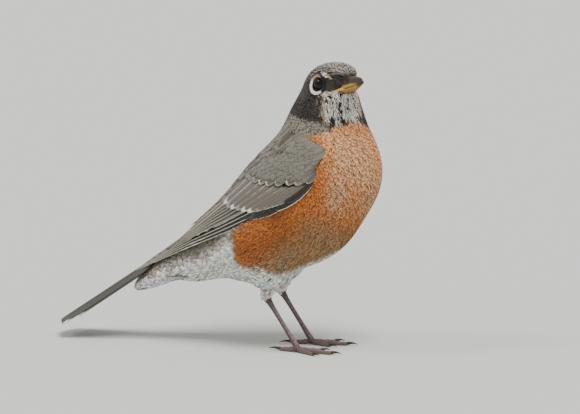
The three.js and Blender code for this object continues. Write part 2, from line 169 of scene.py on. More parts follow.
eye = {"ball": (-1.4, 7.1, 0.0), "radius": 5.0, "aim": 29, "socket": (1.5, 12, 0), "dent": 2.6,
       "dentRadius": 5.5}


def eggField(p, eggs, k):
    # smooth union, negative inside: -k log of the sum of exp(-distance / k)
    total = 0.0
    for centre, radii, axes in eggs:
        q = (p - centre) @ axes
        k0 = np.linalg.norm(q / radii, axis=-1)
        k1 = np.linalg.norm(q / radii**2, axis=-1) + 1e-9
        total = total + np.exp(np.clip(-k0 * (k0 - 1) / k1 / k, -60, 60))
    return -k * np.log(total + 1e-300)


def bodyField(p):
    # trunk and thighs joined to the head, which is dented at each eye
    a = eggField(p, trunkEggs + thighEggs, softness["trunk"])
    b = eggField(p, headEggs, softness["head"])
    x, y, z = eye["socket"]
    for side in (-1, 1):
        d = p - inHead(x, side * y, z)
        b = b + eye["dent"] * np.exp(-(d * d).sum(-1) / eye["dentRadius"] ** 2)
    low, k = np.minimum(a, b), softness["joint"]
    return low - k * np.log(np.exp(-(a - low) / k) + np.exp(-(b - low) / k))


def drapeField(p):
    # what the folded wings lie on
    return eggField(p, trunkEggs + wingEggs, softness["trunk"])


def reach(origin, direction, field, far=90.0, steps=22):
    # how far along each ray the surface lies, by halving
    low = np.zeros(direction.shape[:-1])
    high = np.full(direction.shape[:-1], far)
    for _ in range(steps):
        middle = (low + high) / 2
        inside = field(origin + direction * middle[..., None]) < 0
        low, high = np.where(inside, middle, low), np.where(inside, high, middle)
    return (low + high) / 2


def outward(p, field):
    # surface normal, from the field's slope over 0.2 mm each way
    steps = np.eye(3) * 0.2
    return unit(np.stack([field(p + s) - field(p - s) for s in steps], -1))


spine = np.array([(-92, 0, 37), (-40, 0, 52), (24, 0, 88), inHead(-4, 0, -4)], float)
headPole = unit(inHead(19, 0, -1) - spine[3])
neckTwist, twistFrom = -39 * deg, 0.66              # turn of the rays towards the head, and where it starts


def spineFan(t, v):
    # ray from the spine: t runs -1..0 over the tail's cap, 0..1 along the spine, 1..2 over the head's;
    # v is the angle round it, 0 at the left side and a quarter turn at the back
    k = np.clip(t, 0, 1)[..., None]
    weights = ((1 - k) ** 3, 3 * k * (1 - k) ** 2, 3 * k * k * (1 - k), k**3)
    origin = sum(w * p for w, p in zip(weights, spine))
    slopes = ((1 - k) ** 2, 2 * k * (1 - k), k * k)
    along = unit(sum(w * p for w, p in zip(slopes, np.diff(spine, axis=0))))
    across = np.array([0, 1.0, 0])
    left = unit(across - along * (along @ across)[..., None])
    twist = neckTwist * ramp(np.clip(t, 0, 1), twistFrom, 1)
    left = left * np.cos(twist)[..., None] + np.cross(along, left) * np.sin(twist)[..., None]
    up = np.cross(along, left)
    d = left * np.cos(v)[..., None] + up * np.sin(v)[..., None]
    pole = np.where((t > 1)[..., None], headPole, -along)
    cap = np.where(t > 1, t - 1, np.where(t < 0, -t, 0.0))
    angle = np.arccos(np.clip((d * pole).sum(-1), -1, 1))
    scale = np.sin(angle) + 1e-9
    keep, swing = np.sin((1 - cap) * angle) / scale, np.sin(cap * angle) / scale
    return origin, unit(d * keep[..., None] + pole * swing[..., None])


def surfaceAt(t, v):
    # where the ray at t and v leaves the form
    origin, d = spineFan(t, v)
    return origin + d * reach(origin, d, bodyField)[..., None]


# the chart of the body: rows are arc length from the bill, columns the angle round the body
chartColumns = 180
rowStep = 0.8                                       # mm of arc between rows
raySteps = {"head": 70, "spine": 170, "tail": 26}


def bodyChart():
    # points along each meridian, evened out by arc length; shear and girth tell how rows and columns lie
    t = np.concatenate([np.linspace(2, 1, raySteps["head"], False),
                        np.linspace(1, 0, raySteps["spine"], False), np.linspace(0, -1, raySteps["tail"])])
    v = roundAngles(chartColumns)
    tt, vv = np.meshgrid(t, v, indexing="ij")
    p = surfaceAt(tt, vv)
    arc = np.concatenate([np.zeros((1, chartColumns)),
                          np.linalg.norm(np.diff(p, axis=0), axis=-1).cumsum(0)])
    rows = np.arange(0, arc[-1].max() + rowStep, rowStep)
    points = np.empty((len(rows), chartColumns, 3))
    ts = np.empty((len(rows), chartColumns))
    for j in range(chartColumns):
        ts[:, j] = np.interp(rows, arc[:, j], t)
        for c in range(3):
            points[:, j, c] = np.interp(rows, arc[:, j], p[:, j, c])
    along = unit(np.gradient(points, axis=0) + 1e-9)
    across = (np.roll(points, -1, 1) - np.roll(points, 1, 1)) * chartColumns / (4 * np.pi)
    shear = (across * along).sum(-1)
    girth = np.linalg.norm(across - along * shear[..., None], axis=-1)
    return {
        "point": points,
        "normal": outward(points, bodyField),
        "data": np.stack([ts, shear, np.maximum(girth, 0.5)], -1),
        "length": arc[-1],
        "grid": (t, v, p),
    }


chart = bodyChart()
print("form charted:", chart["point"].shape[:2])


def sample(table, l, v):
    # straight-line value of a table at arc length l and angle v
    i = np.clip(l / rowStep, 0, table.shape[0] - 1.001)
    j = (v / (2 * np.pi) * chartColumns) % chartColumns
    i0, j0 = i.astype(int), j.astype(int) % chartColumns
    j1 = (j0 + 1) % chartColumns
    a, b = (i - i0)[..., None], (j - np.floor(j))[..., None]
    top = mix(table[i0, j0], table[i0, j1], b)
    return mix(top, mix(table[i0 + 1, j0], table[i0 + 1, j1], b), a)


def fromBelly(v):
    # degrees round from the middle of the belly, negative on the bird's right
    return (v / deg - 270 + 180) % 360 - 180


# the bird is set where the frame has its right eye
shift = np.array(sum(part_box("eye_right"), Vector())) / 2 * 1000 - inHead(eye["ball"][0], -eye["ball"][1], 0)


def makePiece(name, points, faces, nodes, material, maps, colours):
    # points are millimetres in the bird's frame; maps are UVs a vertex, colours RGBA a vertex
    mesh = bpy.data.meshes.new(name)
    xyz = ((points.reshape(-1, 3) + shift) * 0.001).astype(np.float32)
    faces = np.ascontiguousarray(faces, np.int32)
    mesh.vertices.add(len(xyz))
    mesh.vertices.foreach_set("co", xyz.ravel())
    mesh.loops.add(faces.size)
    mesh.loops.foreach_set("vertex_index", faces.ravel())
    mesh.polygons.add(len(faces))
    mesh.polygons.foreach_set("loop_start", np.arange(len(faces), dtype=np.int32) * faces.shape[1])
    mesh.polygons.foreach_set("use_smooth", np.ones(len(faces), bool))
    for key, uv in maps.items():
        layer = mesh.uv_layers.new(name=key)
        layer.data.foreach_set("uv", uv.reshape(-1, 2)[faces.ravel()].astype(np.float32).ravel())
    for key, colour in colours.items():
        layer = mesh.color_attributes.new(key, "FLOAT_COLOR", "POINT")
        layer.data.foreach_set("color", colour.reshape(-1, 4).astype(np.float32).ravel())
    mesh.update()
    mesh.validate()
    piece = bpy.data.objects.new(name, mesh)
    bpy.context.scene.collection.objects.link(piece)
    mesh.materials.append(material)
    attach(piece, "root")
    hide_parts(*nodes)
    return piece


def gridFaces(rows, columns, closed=False):
    # quads of a grid, row by row; closed joins the last column to the first
    i, j = np.meshgrid(np.arange(rows - 1), np.arange(columns if closed else columns - 1), indexing="ij")
    k = (j + 1) % columns
    return np.stack([i * columns + j, (i + 1) * columns + j, (i + 1) * columns + k, i * columns + k],
                    -1).reshape(-1, 4)


def leaf(rows, columns):
    # closed thin leaf over s 0..1 along and w -1..1 across: upper and lower faces share the rim.
    # Returns s, w, side (1 above, -1 below, 0 on the rim) and the faces
    s, w = np.meshgrid(rows, columns, indexing="ij")
    r, c = s.shape
    rim = np.zeros((r, c), bool)
    rim[[0, -1]] = rim[:, [0, -1]] = True
    above = np.arange(r * c).reshape(r, c)
    below = above.copy()
    below[~rim] = r * c + np.arange((~rim).sum())
    upper = gridFaces(r, c)
    lower = below.ravel()[upper][:, ::-1]
    side = np.concatenate([np.where(rim, 0, 1).ravel(), -np.ones((~rim).sum())])
    return (np.concatenate([s.ravel(), s[~rim]]), np.concatenate([w.ravel(), w[~rim]]), side,
            np.concatenate([upper, lower]))


def repeatFaces(faces, vertices, copies):
    # the same faces for each copy of a shape with so many vertices
    return (faces[None] + vertices * np.arange(copies)[:, None, None]).reshape(-1, faces.shape[1])


def rgba(colour, alpha, shape):
    # colour and alpha, one for all or one a vane, spread over the vertices of each vane
    out = np.empty((*shape, 4))
    out[..., :3] = np.atleast_2d(colour)[:, None]
    out[..., 3] = np.asarray(alpha, float)[..., None]
    return out


def opaque(colours):
    # colour rows with alpha 1
    return np.concatenate([colours, np.ones((len(colours), 1))], 1)


def evenColour(colour, points):
    # one colour with alpha 1 for all points
    return np.broadcast_to(np.append(colour, 1), (len(points), 4))


def rings(centres, sides, ups, wide, high, count):
    # ellipse round each centre, wide along sides and high along ups; returns rows x count x 3
    a = roundAngles(count)
    sides, ups = np.broadcast_to(sides, centres.shape), np.broadcast_to(ups, centres.shape)
    return (centres[:, None] + sides[:, None] * (wide[:, None] * np.cos(a))[..., None]
            + ups[:, None] * (high[:, None] * np.sin(a))[..., None])


def closedTube(sections):
    # rings joined in order, each end closed by a fan of quads round its middle
    rows, count = sections.shape[:2]
    ends = np.stack([sections[0].mean(0), sections[-1].mean(0)])
    faces = gridFaces(rows, count, True)
    j = np.arange(0, count, 2)
    start = np.stack([np.full(len(j), rows * count), j, (j + 1) % count, (j + 2) % count], -1)
    last = (rows - 1) * count
    end = np.stack([np.full(len(j), rows * count + 1), last + (j + 2) % count, last + (j + 1) % count,
                    last + j], -1)
    return np.concatenate([sections.reshape(-1, 3), ends]), np.concatenate([faces, start, end])


def facingOut(points, faces):
    # turns the faces round if the closed shape's volume comes out negative
    a, b, c, d = (points[faces[:, i]] for i in range(4))
    volume = (np.cross(b - a, c - a) * a).sum() + (np.cross(c - a, d - a) * a).sum()
    return faces if volume > 0 else faces[:, ::-1]


def joinParts(parts):
    # several (points, faces, colours) into one
    points, faces, colours, count = [], [], [], 0
    for p, f, c in parts:
        p = p.reshape(-1, 3)
        points.append(p)
        faces.append(facingOut(p, f) + count)
        colours.append(c)
        count += len(p)
    return np.concatenate(points), np.concatenate(faces), np.concatenate(colours)


def tubeAlong(path, wide, high, count, guide=(0, 0, 1)):
    # tube with elliptic sections along a path of points
    along = unit(np.gradient(path, axis=0))
    side = unit(np.cross(np.array(guide, float), along))
    return rings(path, side, np.cross(along, side), wide, high, count)


reliefDepth = 0.0002                                # metres, of every bump


def nodeMaterial(name, roughness, specular=0.3, sheen=0.0, coat=0.0):
    # one principled shader with even values, ready for more nodes
    material = bpy.data.materials.new(name)
    material.use_nodes = True
    nodes, links = material.node_tree.nodes, material.node_tree.links
    nodes.clear()
    shader = nodes.new("ShaderNodeBsdfPrincipled")
    out = nodes.new("ShaderNodeOutputMaterial")
    links.new(shader.outputs[0], out.inputs[0])
    shader.inputs["Roughness"].default_value = roughness
    shader.inputs["Specular IOR Level"].default_value = specular
    shader.inputs["Sheen Weight"].default_value = sheen
    shader.inputs["Sheen Roughness"].default_value = 0.5
    shader.inputs["Coat Weight"].default_value = coat
    shader.inputs["Coat Roughness"].default_value = 0.04
    return material, nodes, links, shader


class Sums:
    # short way to write a chain of Math nodes
    def __init__(self, nodes, links):
        self.nodes, self.links = nodes, links

    def __call__(self, kind, a, b=0.0, c=0.0):
        node = self.nodes.new("ShaderNodeMath")
        node.operation = kind
        for i, value in enumerate((a, b, c)):
            if isinstance(value, (int, float)):
                node.inputs[i].default_value = value
            else:
                self.links.new(value, node.inputs[i])
        return node.outputs[0]

    def step(self, value, start, end):
        # 0 before start, 1 past end
        node = self.nodes.new("ShaderNodeMapRange")
        node.interpolation_type = "SMOOTHSTEP"
        self.links.new(value, node.inputs["Value"])
        node.inputs["From Min"].default_value = start
        node.inputs["From Max"].default_value = end
        return node.outputs["Result"]


def mixColours(nodes, links, factor, a, b):
    # colour a where factor is 0, b where it is 1
    node = nodes.new("ShaderNodeMix")
    node.data_type = "RGBA"
    for socket, value in ((node.inputs[0], factor), (node.inputs[6], a), (node.inputs[7], b)):
        links.new(value, socket)
    return node.outputs[2]


def attribute(nodes, name):
    # colour and alpha that the vertices carry
    node = nodes.new("ShaderNodeAttribute")
    node.attribute_name = name
    return node


def softNoise(nodes, links, scale, detail):
    # noise in the object's own space, 0..1
    noise, where = nodes.new("ShaderNodeTexNoise"), nodes.new("ShaderNodeTexCoord")
    noise.inputs["Scale"].default_value = scale
    noise.inputs["Detail"].default_value = detail
    links.new(where.outputs["Object"], noise.inputs["Vector"])
    return noise.outputs["Fac"]


def vanePlace(nodes, links):
    # place on the vane, 0..1 across it and 0..1 from root to tip
    place, split = nodes.new("ShaderNodeUVMap"), nodes.new("ShaderNodeSeparateXYZ")
    place.uv_map = "vane"
    links.new(place.outputs[0], split.inputs[0])
    return split.outputs[0], split.outputs[1]


def barbWave(sums, along, across, wander, slant, barbs, shake):
    # sine of so many barbs along the vane, slanting back from the shaft and shaken by the noise
    phase = sums("MULTIPLY", sums("SUBTRACT", along, sums("MULTIPLY", across, slant)), barbs * 6.28)
    return sums("SINE", sums("MULTIPLY_ADD", wander, shake, phase))


def finishSurface(nodes, links, shader, colour, dark, relief, strength):
    # colour times dark for the base, and the relief as a shallow bump
    scale, bump = nodes.new("ShaderNodeVectorMath"), nodes.new("ShaderNodeBump")
    scale.operation = "SCALE"
    links.new(colour, scale.inputs[0])
    links.new(dark, scale.inputs["Scale"])
    links.new(scale.outputs[0], shader.inputs["Base Color"])
    bump.inputs["Strength"].default_value = strength
    bump.inputs["Distance"].default_value = reliefDepth
    links.new(relief, bump.inputs["Height"])
    links.new(bump.outputs[0], shader.inputs["Normal"])


def featherMaterial(name, roughness, sheen, barbs, fringeFrom, depth=0.22, sideFringe=0.5, shaft=0.5):
    # vane colour from the vertices, a pale fringe near tip and sides, slanting barbs, painted shade at the
    # root
    material, nodes, links, shader = nodeMaterial(name, roughness, 0.25, sheen)
    sums = Sums(nodes, links)
    x, along = vanePlace(nodes, links)
    across = sums("ABSOLUTE", sums("MULTIPLY_ADD", x, 2.0, -1.0))
    wander = sums("MULTIPLY_ADD", softNoise(nodes, links, 900, 2), 1.1, -0.55)
    wave = barbWave(sums, along, across, wander, 0.32, barbs, 5.0)
    edge = sums("ADD", along, sums("MULTIPLY", sums("MULTIPLY", across, across), sideFringe * 0.3))
    edge = sums("ADD", edge, sums("MULTIPLY", wander, 0.16))
    tint, fringe = attribute(nodes, "tint"), attribute(nodes, "fringe")
    amount = sums("MULTIPLY", sums.step(edge, fringeFrom, fringeFrom + 0.16), fringe.outputs["Alpha"])
    colour = mixColours(nodes, links, amount, tint.outputs["Color"], fringe.outputs["Color"])
    line = sums("SUBTRACT", 1.0, sums.step(across, 0.02, 0.12))
    dark = sums("MULTIPLY_ADD", wave, depth * 0.5, 1.0)
    dark = sums("MULTIPLY", dark, sums("MULTIPLY_ADD", line, -0.35 * shaft, 1.0))
    # painted shade: each vane darker towards its root, where the vanes above cover it
    dark = sums("MULTIPLY", dark, sums("MULTIPLY_ADD", sums.step(along, 0.05, 0.6), 0.3, 0.7))
    dark = sums("MULTIPLY", dark, sums("MULTIPLY_ADD", wander, 0.35, 1.0))
    finishSurface(nodes, links, shader, colour, dark, wave, 0.35)
    return material


def paintedMaterial(name, roughness, specular=0.4, coat=0.0, grain=400, depth=0.15, bumpBy=0.2):
    # colour from the vertices with a fine mottle, for skin, horn and scale
    material, nodes, links, shader = nodeMaterial(name, roughness, specular, 0.0, coat)
    mottle = softNoise(nodes, links, grain, 3)
    dark = Sums(nodes, links)("MULTIPLY_ADD", mottle, depth * 2, 1 - depth)
    finishSurface(nodes, links, shader, attribute(nodes, "tint").outputs["Color"], dark, mottle, bumpBy)
    return material


# markings, shared by skin and coat, with painted sheen, shade and bounce light among them
plumageTones = {
    "hoodBlack": tone("1c1916"), "hoodEdge": tone("5c5548"), "crownSheenGrey": tone("a2988e"),
    "crownEdge": tone("b3aaa0"), "crownSkySheen": tone("a8abb8"), "throatWhite": tone("f4efe4"),
    "throatBlack": tone("171412"), "buff": tone("dcb080"), "eyeWhite": tone("f8f1e6"), "pink": tone("ecd9cd"),
    "orange": tone("d87c2c"), "orangeDeep": tone("b4601a"), "orangePink": tone("f6a058"),
    "fringe": tone("f4deb8"), "fringeBuffAndBounce": tone("9a9672"), "grey": tone("81786a"), "greyEdge": tone("9b9285"),
    "greyDark": tone("5f574d"), "white": tone("faf8f4"), "ventGrey": tone("cac5bb"),
}
border = {
    # the hood's edge on the spine; the orange's edges in degrees from the belly by place on the spine, and
    # its rear end as a place on the spine by degrees
    "hood": 0.917,
    "orangeUpper": [[0.36, 98], [0.4, 104], [0.5, 104], [0.6, 100], [0.7, 94], [0.8, 84], [0.845, 84],
                    [0.858, 84], [0.875, 66], [0.892, 48], [0.905, 36], [0.93, 30]],
    "orangeLower": [[0.34, 68], [0.367, 58], [0.392, 52], [0.417, 46], [0.433, 38], [0.458, 30],
                    [0.483, 20], [0.525, 15], [0.567, 10], [0.6, -4], [0.65, -20]],
    "orangeRear": [[-80, 0.352], [68, 0.35], [78, 0.36], [90, 0.376], [104, 0.39]],
}


def segmentDistance(q, a, b):
    # distance from points to the straight stretch a to b, in the head's frame
    a, b = np.array(a, float), np.array(b, float)
    k = np.clip(((q - a) @ (b - a)) / ((b - a) @ (b - a)), 0, 1)
    return np.linalg.norm(q - a - k[..., None] * (b - a), axis=-1)


faceMarks = [
    # from, to, half width, tone: streaks in the head's frame on the side at +Y, mirrored for the other
    ((5.2, 10.6, 7.2), (7.6, 10.6, 4.4), 0.6, "eyeWhite"),
    ((7.9, 10.4, 6.2), (9.8, 10.3, 3.6), 0.6, "eyeWhite"),
    ((9.9, 10.0, 4.8), (11.6, 8.8, 1.9), 0.5, "buff"),
    ((-3.4, 10.4, 7.9), (1.8, 10.0, 8.4), 0.45, "pink"),
    ((-6.6, 12.2, 4.8), (-3.6, 10.6, 7.7), 0.4, "pink"),
    ((1.2, 13.2, -6.4), (4.4, 12.2, -6.6), 0.8, "pink"),
    ((4.4, 12.2, -6.3), (7.4, 10.6, -6.9), 1.1, "pink"),
    ((6.9, 11.0, -7.2), (9.0, 9.2, -6.4), 0.6, "pink"),
    ((1.0, 13.4, -6.3), (2.4, 13.0, -6.9), 0.4, "buff"),
]


def hoodLine(around):
    # where the hood ends on the spine, drawn back a little on the sides of the throat
    return border["hood"] - 0.014 * np.exp(-(((around - 40) / 13) ** 2))


def plumage(p, t, v):
    # markings, some of them painted sheen, shade or bounce light, at the place p, at t along the spine and v
    # round it: tint, fringe and fringe amount. Each mark is a product of ramps, in degrees from the belly,
    # along the spine, or in mm in the head's frame
    tones = plumageTones
    h = headward(p)
    side = np.abs(h[..., 1])
    around = np.abs(fromBelly(v))
    grain = speckle(v / (2 * np.pi) * 90, t * 60, 3, 90)
    fine = speckle(v / (2 * np.pi) * 160, t * 130, 5, 160)
    patch = speckle(v / (2 * np.pi) * 16, t * 12, 7, 16)

    def put(base, colour, k):
        return mix(base, tones[colour] if isinstance(colour, str) else colour, np.clip(k, 0, 1)[..., None])

    shape = p.shape[:-1]
    tint = np.broadcast_to(tones["grey"], (*shape, 3)).copy()
    tint = put(tint, "greyDark", 0.55 * ramp(fine, 0.5, 1.0))
    fringe = np.broadcast_to(tones["greyEdge"], (*shape, 3)).copy()
    amount = np.full(shape, 0.75)

    # orange underparts, deep on the flank, pinker and frosted on the breast
    upper, lower = curve(border["orangeUpper"], t), curve(border["orangeLower"], t)
    rear = curve(border["orangeRear"], around)
    inside = ramp(upper - around, -3, 5) * ramp(around - lower, -4, 4) * ramp(t - rear, -0.006, 0.01)
    orange = np.broadcast_to(tones["orange"], (*shape, 3)).copy()
    orange = put(orange, "orangeDeep", ramp(patch, 0.35, 0.8) * 0.8)
    orange = put(orange, "orangePink", ramp(t, 0.72, 0.86) * 0.8 * ramp(80 - around, 0, 30))
    tint = put(tint, orange, inside)
    frostFront = ramp(60 + 8 * patch - around, 0, 22) * ramp(t, 0.6, 0.72)
    frostFront = frostFront * (0.55 + 0.45 * ramp(0.9 - t, 0, 0.02))
    frostLow = ramp(60 - around, 0, 22) * ramp(0.68 - t, 0, 0.08)
    frost = np.maximum(frostFront * 0.75, frostLow) * (0.45 + 0.55 * ramp(patch, 0.2, 0.6))
    fringe = put(fringe, "fringe", inside)
    # olive fringes low on the orange: partly their own grey-buff, partly painted greenish bounce light from
    # below
    fringe = put(fringe, "fringeBuffAndBounce", inside * ramp(0.7 - t, 0, 0.1))
    amount = mix(amount, frost, inside)
    tint = put(tint, "fringe", inside * 0.16 * frost)
    # painted shade and bounce light: the underside towards the legs darker orange and more olive
    low = inside * ramp(0.69 - t, 0, 0.07) * ramp(70 - around, 0, 18)
    tint = put(tint, "orangeDeep", 0.6 * low)
    tint = put(tint, "fringeBuffAndBounce", 0.35 * low)

    # white belly and vent, grey hind flank, tail coverts grey with white
    belly = ramp(lower - around, -4, 5) * ramp(0.66 - t, 0, 0.05)
    hind = ramp(rear - t, -0.004, 0.014)
    white = np.maximum(belly, hind * ramp(94 - around + 26 * (grain - 0.5), -7, 9))
    tint = put(tint, "ventGrey", hind * ramp(118 - around, 0, 14))
    tint = put(tint, "white", white)
    undertail = hind * ramp(0.2 - t, 0, 0.04) * ramp(100 - around, 0, 10)
    tint = put(tint, "ventGrey", undertail * ramp(patch + 0.5 * grain, 0.62, 0.86))
    fringe = put(fringe, "white", np.maximum(white, undertail))
    amount = np.where(white > 0.4, 0.9, amount)

    # hood, then throat and the marks round the eye
    hood = ramp(t - hoodLine(around) - 0.012 * (grain - 0.5), -0.003, 0.006)
    crown = hood * ramp(h[..., 2], 2.5, 6)
    tint = put(tint, "hoodBlack", hood * (0.82 + 0.18 * fine))
    fringe = put(fringe, "hoodEdge", hood)
    # painted sky sheen: the top of the crown lighter grey along its middle
    middle = crown * ramp(10.5 - side, 0, 4.5)
    tint = put(tint, "crownSheenGrey", middle * (0.55 + 0.45 * ramp(0.8 - fine, 0, 0.35)))
    fringe = put(fringe, "crownEdge", crown)
    # painted reflection of the sky: bluish fringes on the left half of the crown only
    skySheen = crown * ramp(h[..., 1] + 4 * (grain - 0.5), -4, 4) * 0.9
    fringe = put(fringe, "crownSkySheen", skySheen)
    amount = mix(amount, 0.12 + 0.5 * ramp(fine, 0.45, 0.95), hood)
    amount = mix(amount, 0.35 + 0.5 * fine, crown)
    nape = hood * ramp(-h[..., 0], 4, 12)
    amount = mix(amount, 0.45 + 0.4 * fine, nape)

    streak = speckle(v / (2 * np.pi) * 100, t * 9 + h[..., 2] * 0.05, 11, 100)
    spread = 11.8 + 1.2 * ramp(-h[..., 2], 9, 16) - 4.0 * ramp(-h[..., 2], 20, 28)
    throat = hood * ramp(-h[..., 2], 5.4, 7) * ramp(spread - side, -1.2, 1.6) * ramp(h[..., 0], -6, 0)
    dark = ramp(streak + 0.12 * ramp(side, 6, 12) + 0.12 * ramp(-h[..., 2], 19, 27), 0.66, 0.74)
    chinTone = mix(tones["throatWhite"], tones["buff"], 0.35 * ramp(side, 7, 12)[..., None])
    tint = put(tint, chinTone, throat * (1 - dark))
    fringe = put(fringe, chinTone, throat * (1 - dark))
    tint = put(tint, "throatBlack", throat * dark)
    fringe = put(fringe, "throatBlack", throat * dark * 0.9)
    malar = hood * ramp(-h[..., 2], 8, 11) * np.exp(-(((side - 13) / 1.6) ** 2)) * ramp(h[..., 0], -2, 3)
    tint = put(tint, "buff", malar * ramp(streak, 0.55, 0.7) * 0.8)

    q = np.stack([h[..., 0], side, h[..., 2]], -1)
    for start, end, half, colour in faceMarks:
        near = ramp(half + 0.25 - segmentDistance(q, start, end), 0, 0.35) * (t > 0.95)
        tint = put(tint, colour, near * (0.86 + 0.14 * fine))
        fringe = put(fringe, colour, near)
        amount = mix(amount, 0.5, near)
    return tint, fringe, amount


def regionOf(p, t, v):
    # names each place on the body by the kind of feather that grows there
    h = headward(p)
    around = np.abs(fromBelly(v))
    hood = t > hoodLine(around)
    toEye = np.linalg.norm(np.stack([h[..., 0] - 0.5, np.abs(h[..., 1]) - 11.5, h[..., 2]], -1), axis=-1)
    throat = hood & (h[..., 2] < -5.8) & (np.abs(h[..., 1]) < 13) & (h[..., 0] > -5)
    face = hood & ~throat & ((toEye < 10) | (h[..., 0] > 10))
    orange = ((around < curve(border["orangeUpper"], t)) & (around > curve(border["orangeLower"], t))
              & (t > curve(border["orangeRear"], around)) & ~hood)
    white = ~hood & ~orange & (around < 84) & (t < 0.62)
    name = np.full(t.shape, "mantle", object)
    name[~hood & (t > 0.8) & ~orange] = "neck"
    name[(t < 0.33)] = "tailCoverts"
    name[white] = "belly"
    name[white & (t < 0.33)] = "vent"
    name[orange] = "flank"
    name[orange & (t > 0.62)] = "breast"
    name[hood] = "crown"
    name[face] = "face"
    name[throat] = "throat"
    return name


# mm of coat over the skin along the spine; half widths across and ahead of the shin's sleeve, top and ankle
skinParts = {"coat": [[-1, 0.8], [-0.1, 1.4], [0.15, 2.6], [0.3, 3.6], [0.6, 4], [0.82, 3.6], [0.92, 2.2],
                      [1.02, 1.3], [1.4, 0.9], [2, 0.8]],
             "sleeve": ((6, 6.5), (3, 3.2)), "knee": np.array([4, 1.5, 15])}
ankles = {"right": np.array([-17.2, -11, 31.6]), "left": np.array([-15.5, 11, 32])}
feet = {"right": np.array([2.3, -13, 3.2]), "left": np.array([2.5, 13, 3.2])}


def coatDepth(t):
    # mm from the skin up to the form
    return curve(skinParts["coat"], t)


def unwrapped(l, v):
    # place on the skin's own unwrap: round the body across, arc from the bill up
    return np.stack([0.01 + 0.98 * (v / (2 * np.pi) % 1), 0.01 + 0.98 * l / chart["length"].max()], -1)


def sleeveFrame(name):
    # path of the feathered sleeve of the shin: top, bottom and its two cross directions
    lean = skinParts["knee"] * (1, -1 if name == "right" else 1, 1)
    top, bottom = ankles[name] + lean, ankles[name]
    along = unit(bottom - top)
    side = unit(np.cross(np.array([1.0, 0, 0]), along))
    return top, bottom, side, np.cross(along, side)


def onSleeve(name, k, angle, height):
    # place k of the way down the sleeve and angle round it, height off its tapering ellipse
    top, bottom, side, front = sleeveFrame(name)
    above, below = skinParts["sleeve"]
    wide, high = (mix(above[i], below[i], k) + height for i in (0, 1))
    return (mix(top, bottom, k[..., None]) + side * (wide * np.cos(angle))[..., None]
            + front * (high * np.sin(angle))[..., None])


def sleeveSpot(name, k, angle):
    # place of a sleeve's feathers on the baking map
    return np.stack([(0.3 if name == "left" else 0.7) + 0.02 * k, 0.5 + 0.003 * angle], -1)


def makeSkin():
    # the form drawn in by the depth of the coat, with a plain tube in each sleeve
    t, v, p = chart["grid"]
    t, v, p = t[::2], v[::2], p[::2, ::2]
    tt, vv = np.meshgrid(t, v, indexing="ij")
    inner = p - outward(p, bodyField) * coatDepth(tt)[..., None]
    # painted shade: the skin, seen only between the vanes, takes the plumage colour darkened to 0.8
    tint = plumage(p, tt, vv)[0] * 0.8
    arc = np.concatenate([np.zeros((1, len(v))), np.linalg.norm(np.diff(p, axis=0), axis=-1).cumsum(0)])
    first, last = inner[0].mean(0), inner[-1].mean(0)
    inner[0], inner[-1] = mix(first, inner[1], 0.2), mix(last, inner[-2], 0.2)
    points, faces = closedTube(inner)
    parts = [(points, faces, np.concatenate([opaque(tint.reshape(-1, 3)), np.full((2, 4), 0.3)]))]
    uv = [np.concatenate([unwrapped(arc, vv).reshape(-1, 2), [[0.5, 0.01], [0.5, 0.99]]])]
    grey = mix(plumageTones["white"], plumageTones["ventGrey"], 0.5)
    for name in ("right", "left"):
        k, angle = np.meshgrid(np.linspace(-0.2, 1.02, 16), roundAngles(20), indexing="ij")
        points, faces = closedTube(onSleeve(name, k, angle, -0.9))
        parts.append((points, faces, evenColour(grey, points)))
        spot = sleeveSpot(name, k, angle).reshape(-1, 2)
        uv.append(np.concatenate([spot, spot[:2]]))
    points, faces, colour = joinParts(parts)
    makePiece("skin", points, faces,
              ("head", "neck", "trunk", "tail_coverts", "leg_right_thigh", "leg_left_thigh"),
              paintedMaterial("downySkin", 0.8, 0.2), {"OFBake": np.concatenate(uv)},
              {"tint": colour})


makeSkin()
print("skin made")


patchSize = 0.003                                   # each vane's square on the baking map
# centre and axis of sight of each eye
eyeAxes = {sideName: (inHead(eye["ball"][0], side * eye["ball"][1], eye["ball"][2]),
                      headFrame @ np.array([np.sin(eye["aim"] * deg), side * np.cos(eye["aim"] * deg), 0]))
           for sideName, side in (("right", -1), ("left", 1))}
# mm off that axis: no roots within, where the vanes ahead end, how far this counts
eyeRoom = {"bare": 5.0, "rim": 4.3, "near": 12}

# the folded wing, by place a from wrist 0 to tip 1 and degrees above the side
wrist, wingTip = np.array([26.0, 0, 108]), np.array([-99.0, 0, 39])
wingLength = np.linalg.norm(wingTip - wrist)
wingAlong = unit(wingTip - wrist)
wingUp = unit(np.array([wingAlong[2], 0, -wingAlong[0]]))
wingTop = [[-0.02, 38], [0.06, 60], [0.2, 72], [0.4, 78], [0.58, 80], [0.64, 66], [0.7, 31], [0.8, 20],
           [1, 15]]                                 # upper and lower edges over a
wingLow = [[-0.02, 20], [0.03, 9], [0.06, 0], [0.1, -7], [0.22, -8.5], [0.55, -6.5], [0.7, -2],
           [0.82, 2], [1, 12.5]]
wingFront = [[-9, 0.074], [0, 0.064], [6.5, 0.039], [16.6, 0.004], [27, -0.026], [39, 0.004], [49, 0.04],
             [60, 0.085]]                           # where the coat over the bend ends, by degrees up
liftOut = [[0, 1.4], [0.2, 2], [0.6, 1.7], [0.8, 1.3], [1, 1.1]]


def wingLift(a, up):
    # mm that the wing lies off the body, less towards the back
    return curve(liftOut, a) * (1 - 0.9 * smooth((up - 35) / 35))


def wingChartOf(p, side):
    # place along the wing and degrees above the side of points near it
    d = p - wrist
    a = d @ wingAlong / wingLength
    off = d - (a * wingLength)[..., None] * wingAlong
    return a, np.arctan2(off @ wingUp, off[..., 1] * side) / deg


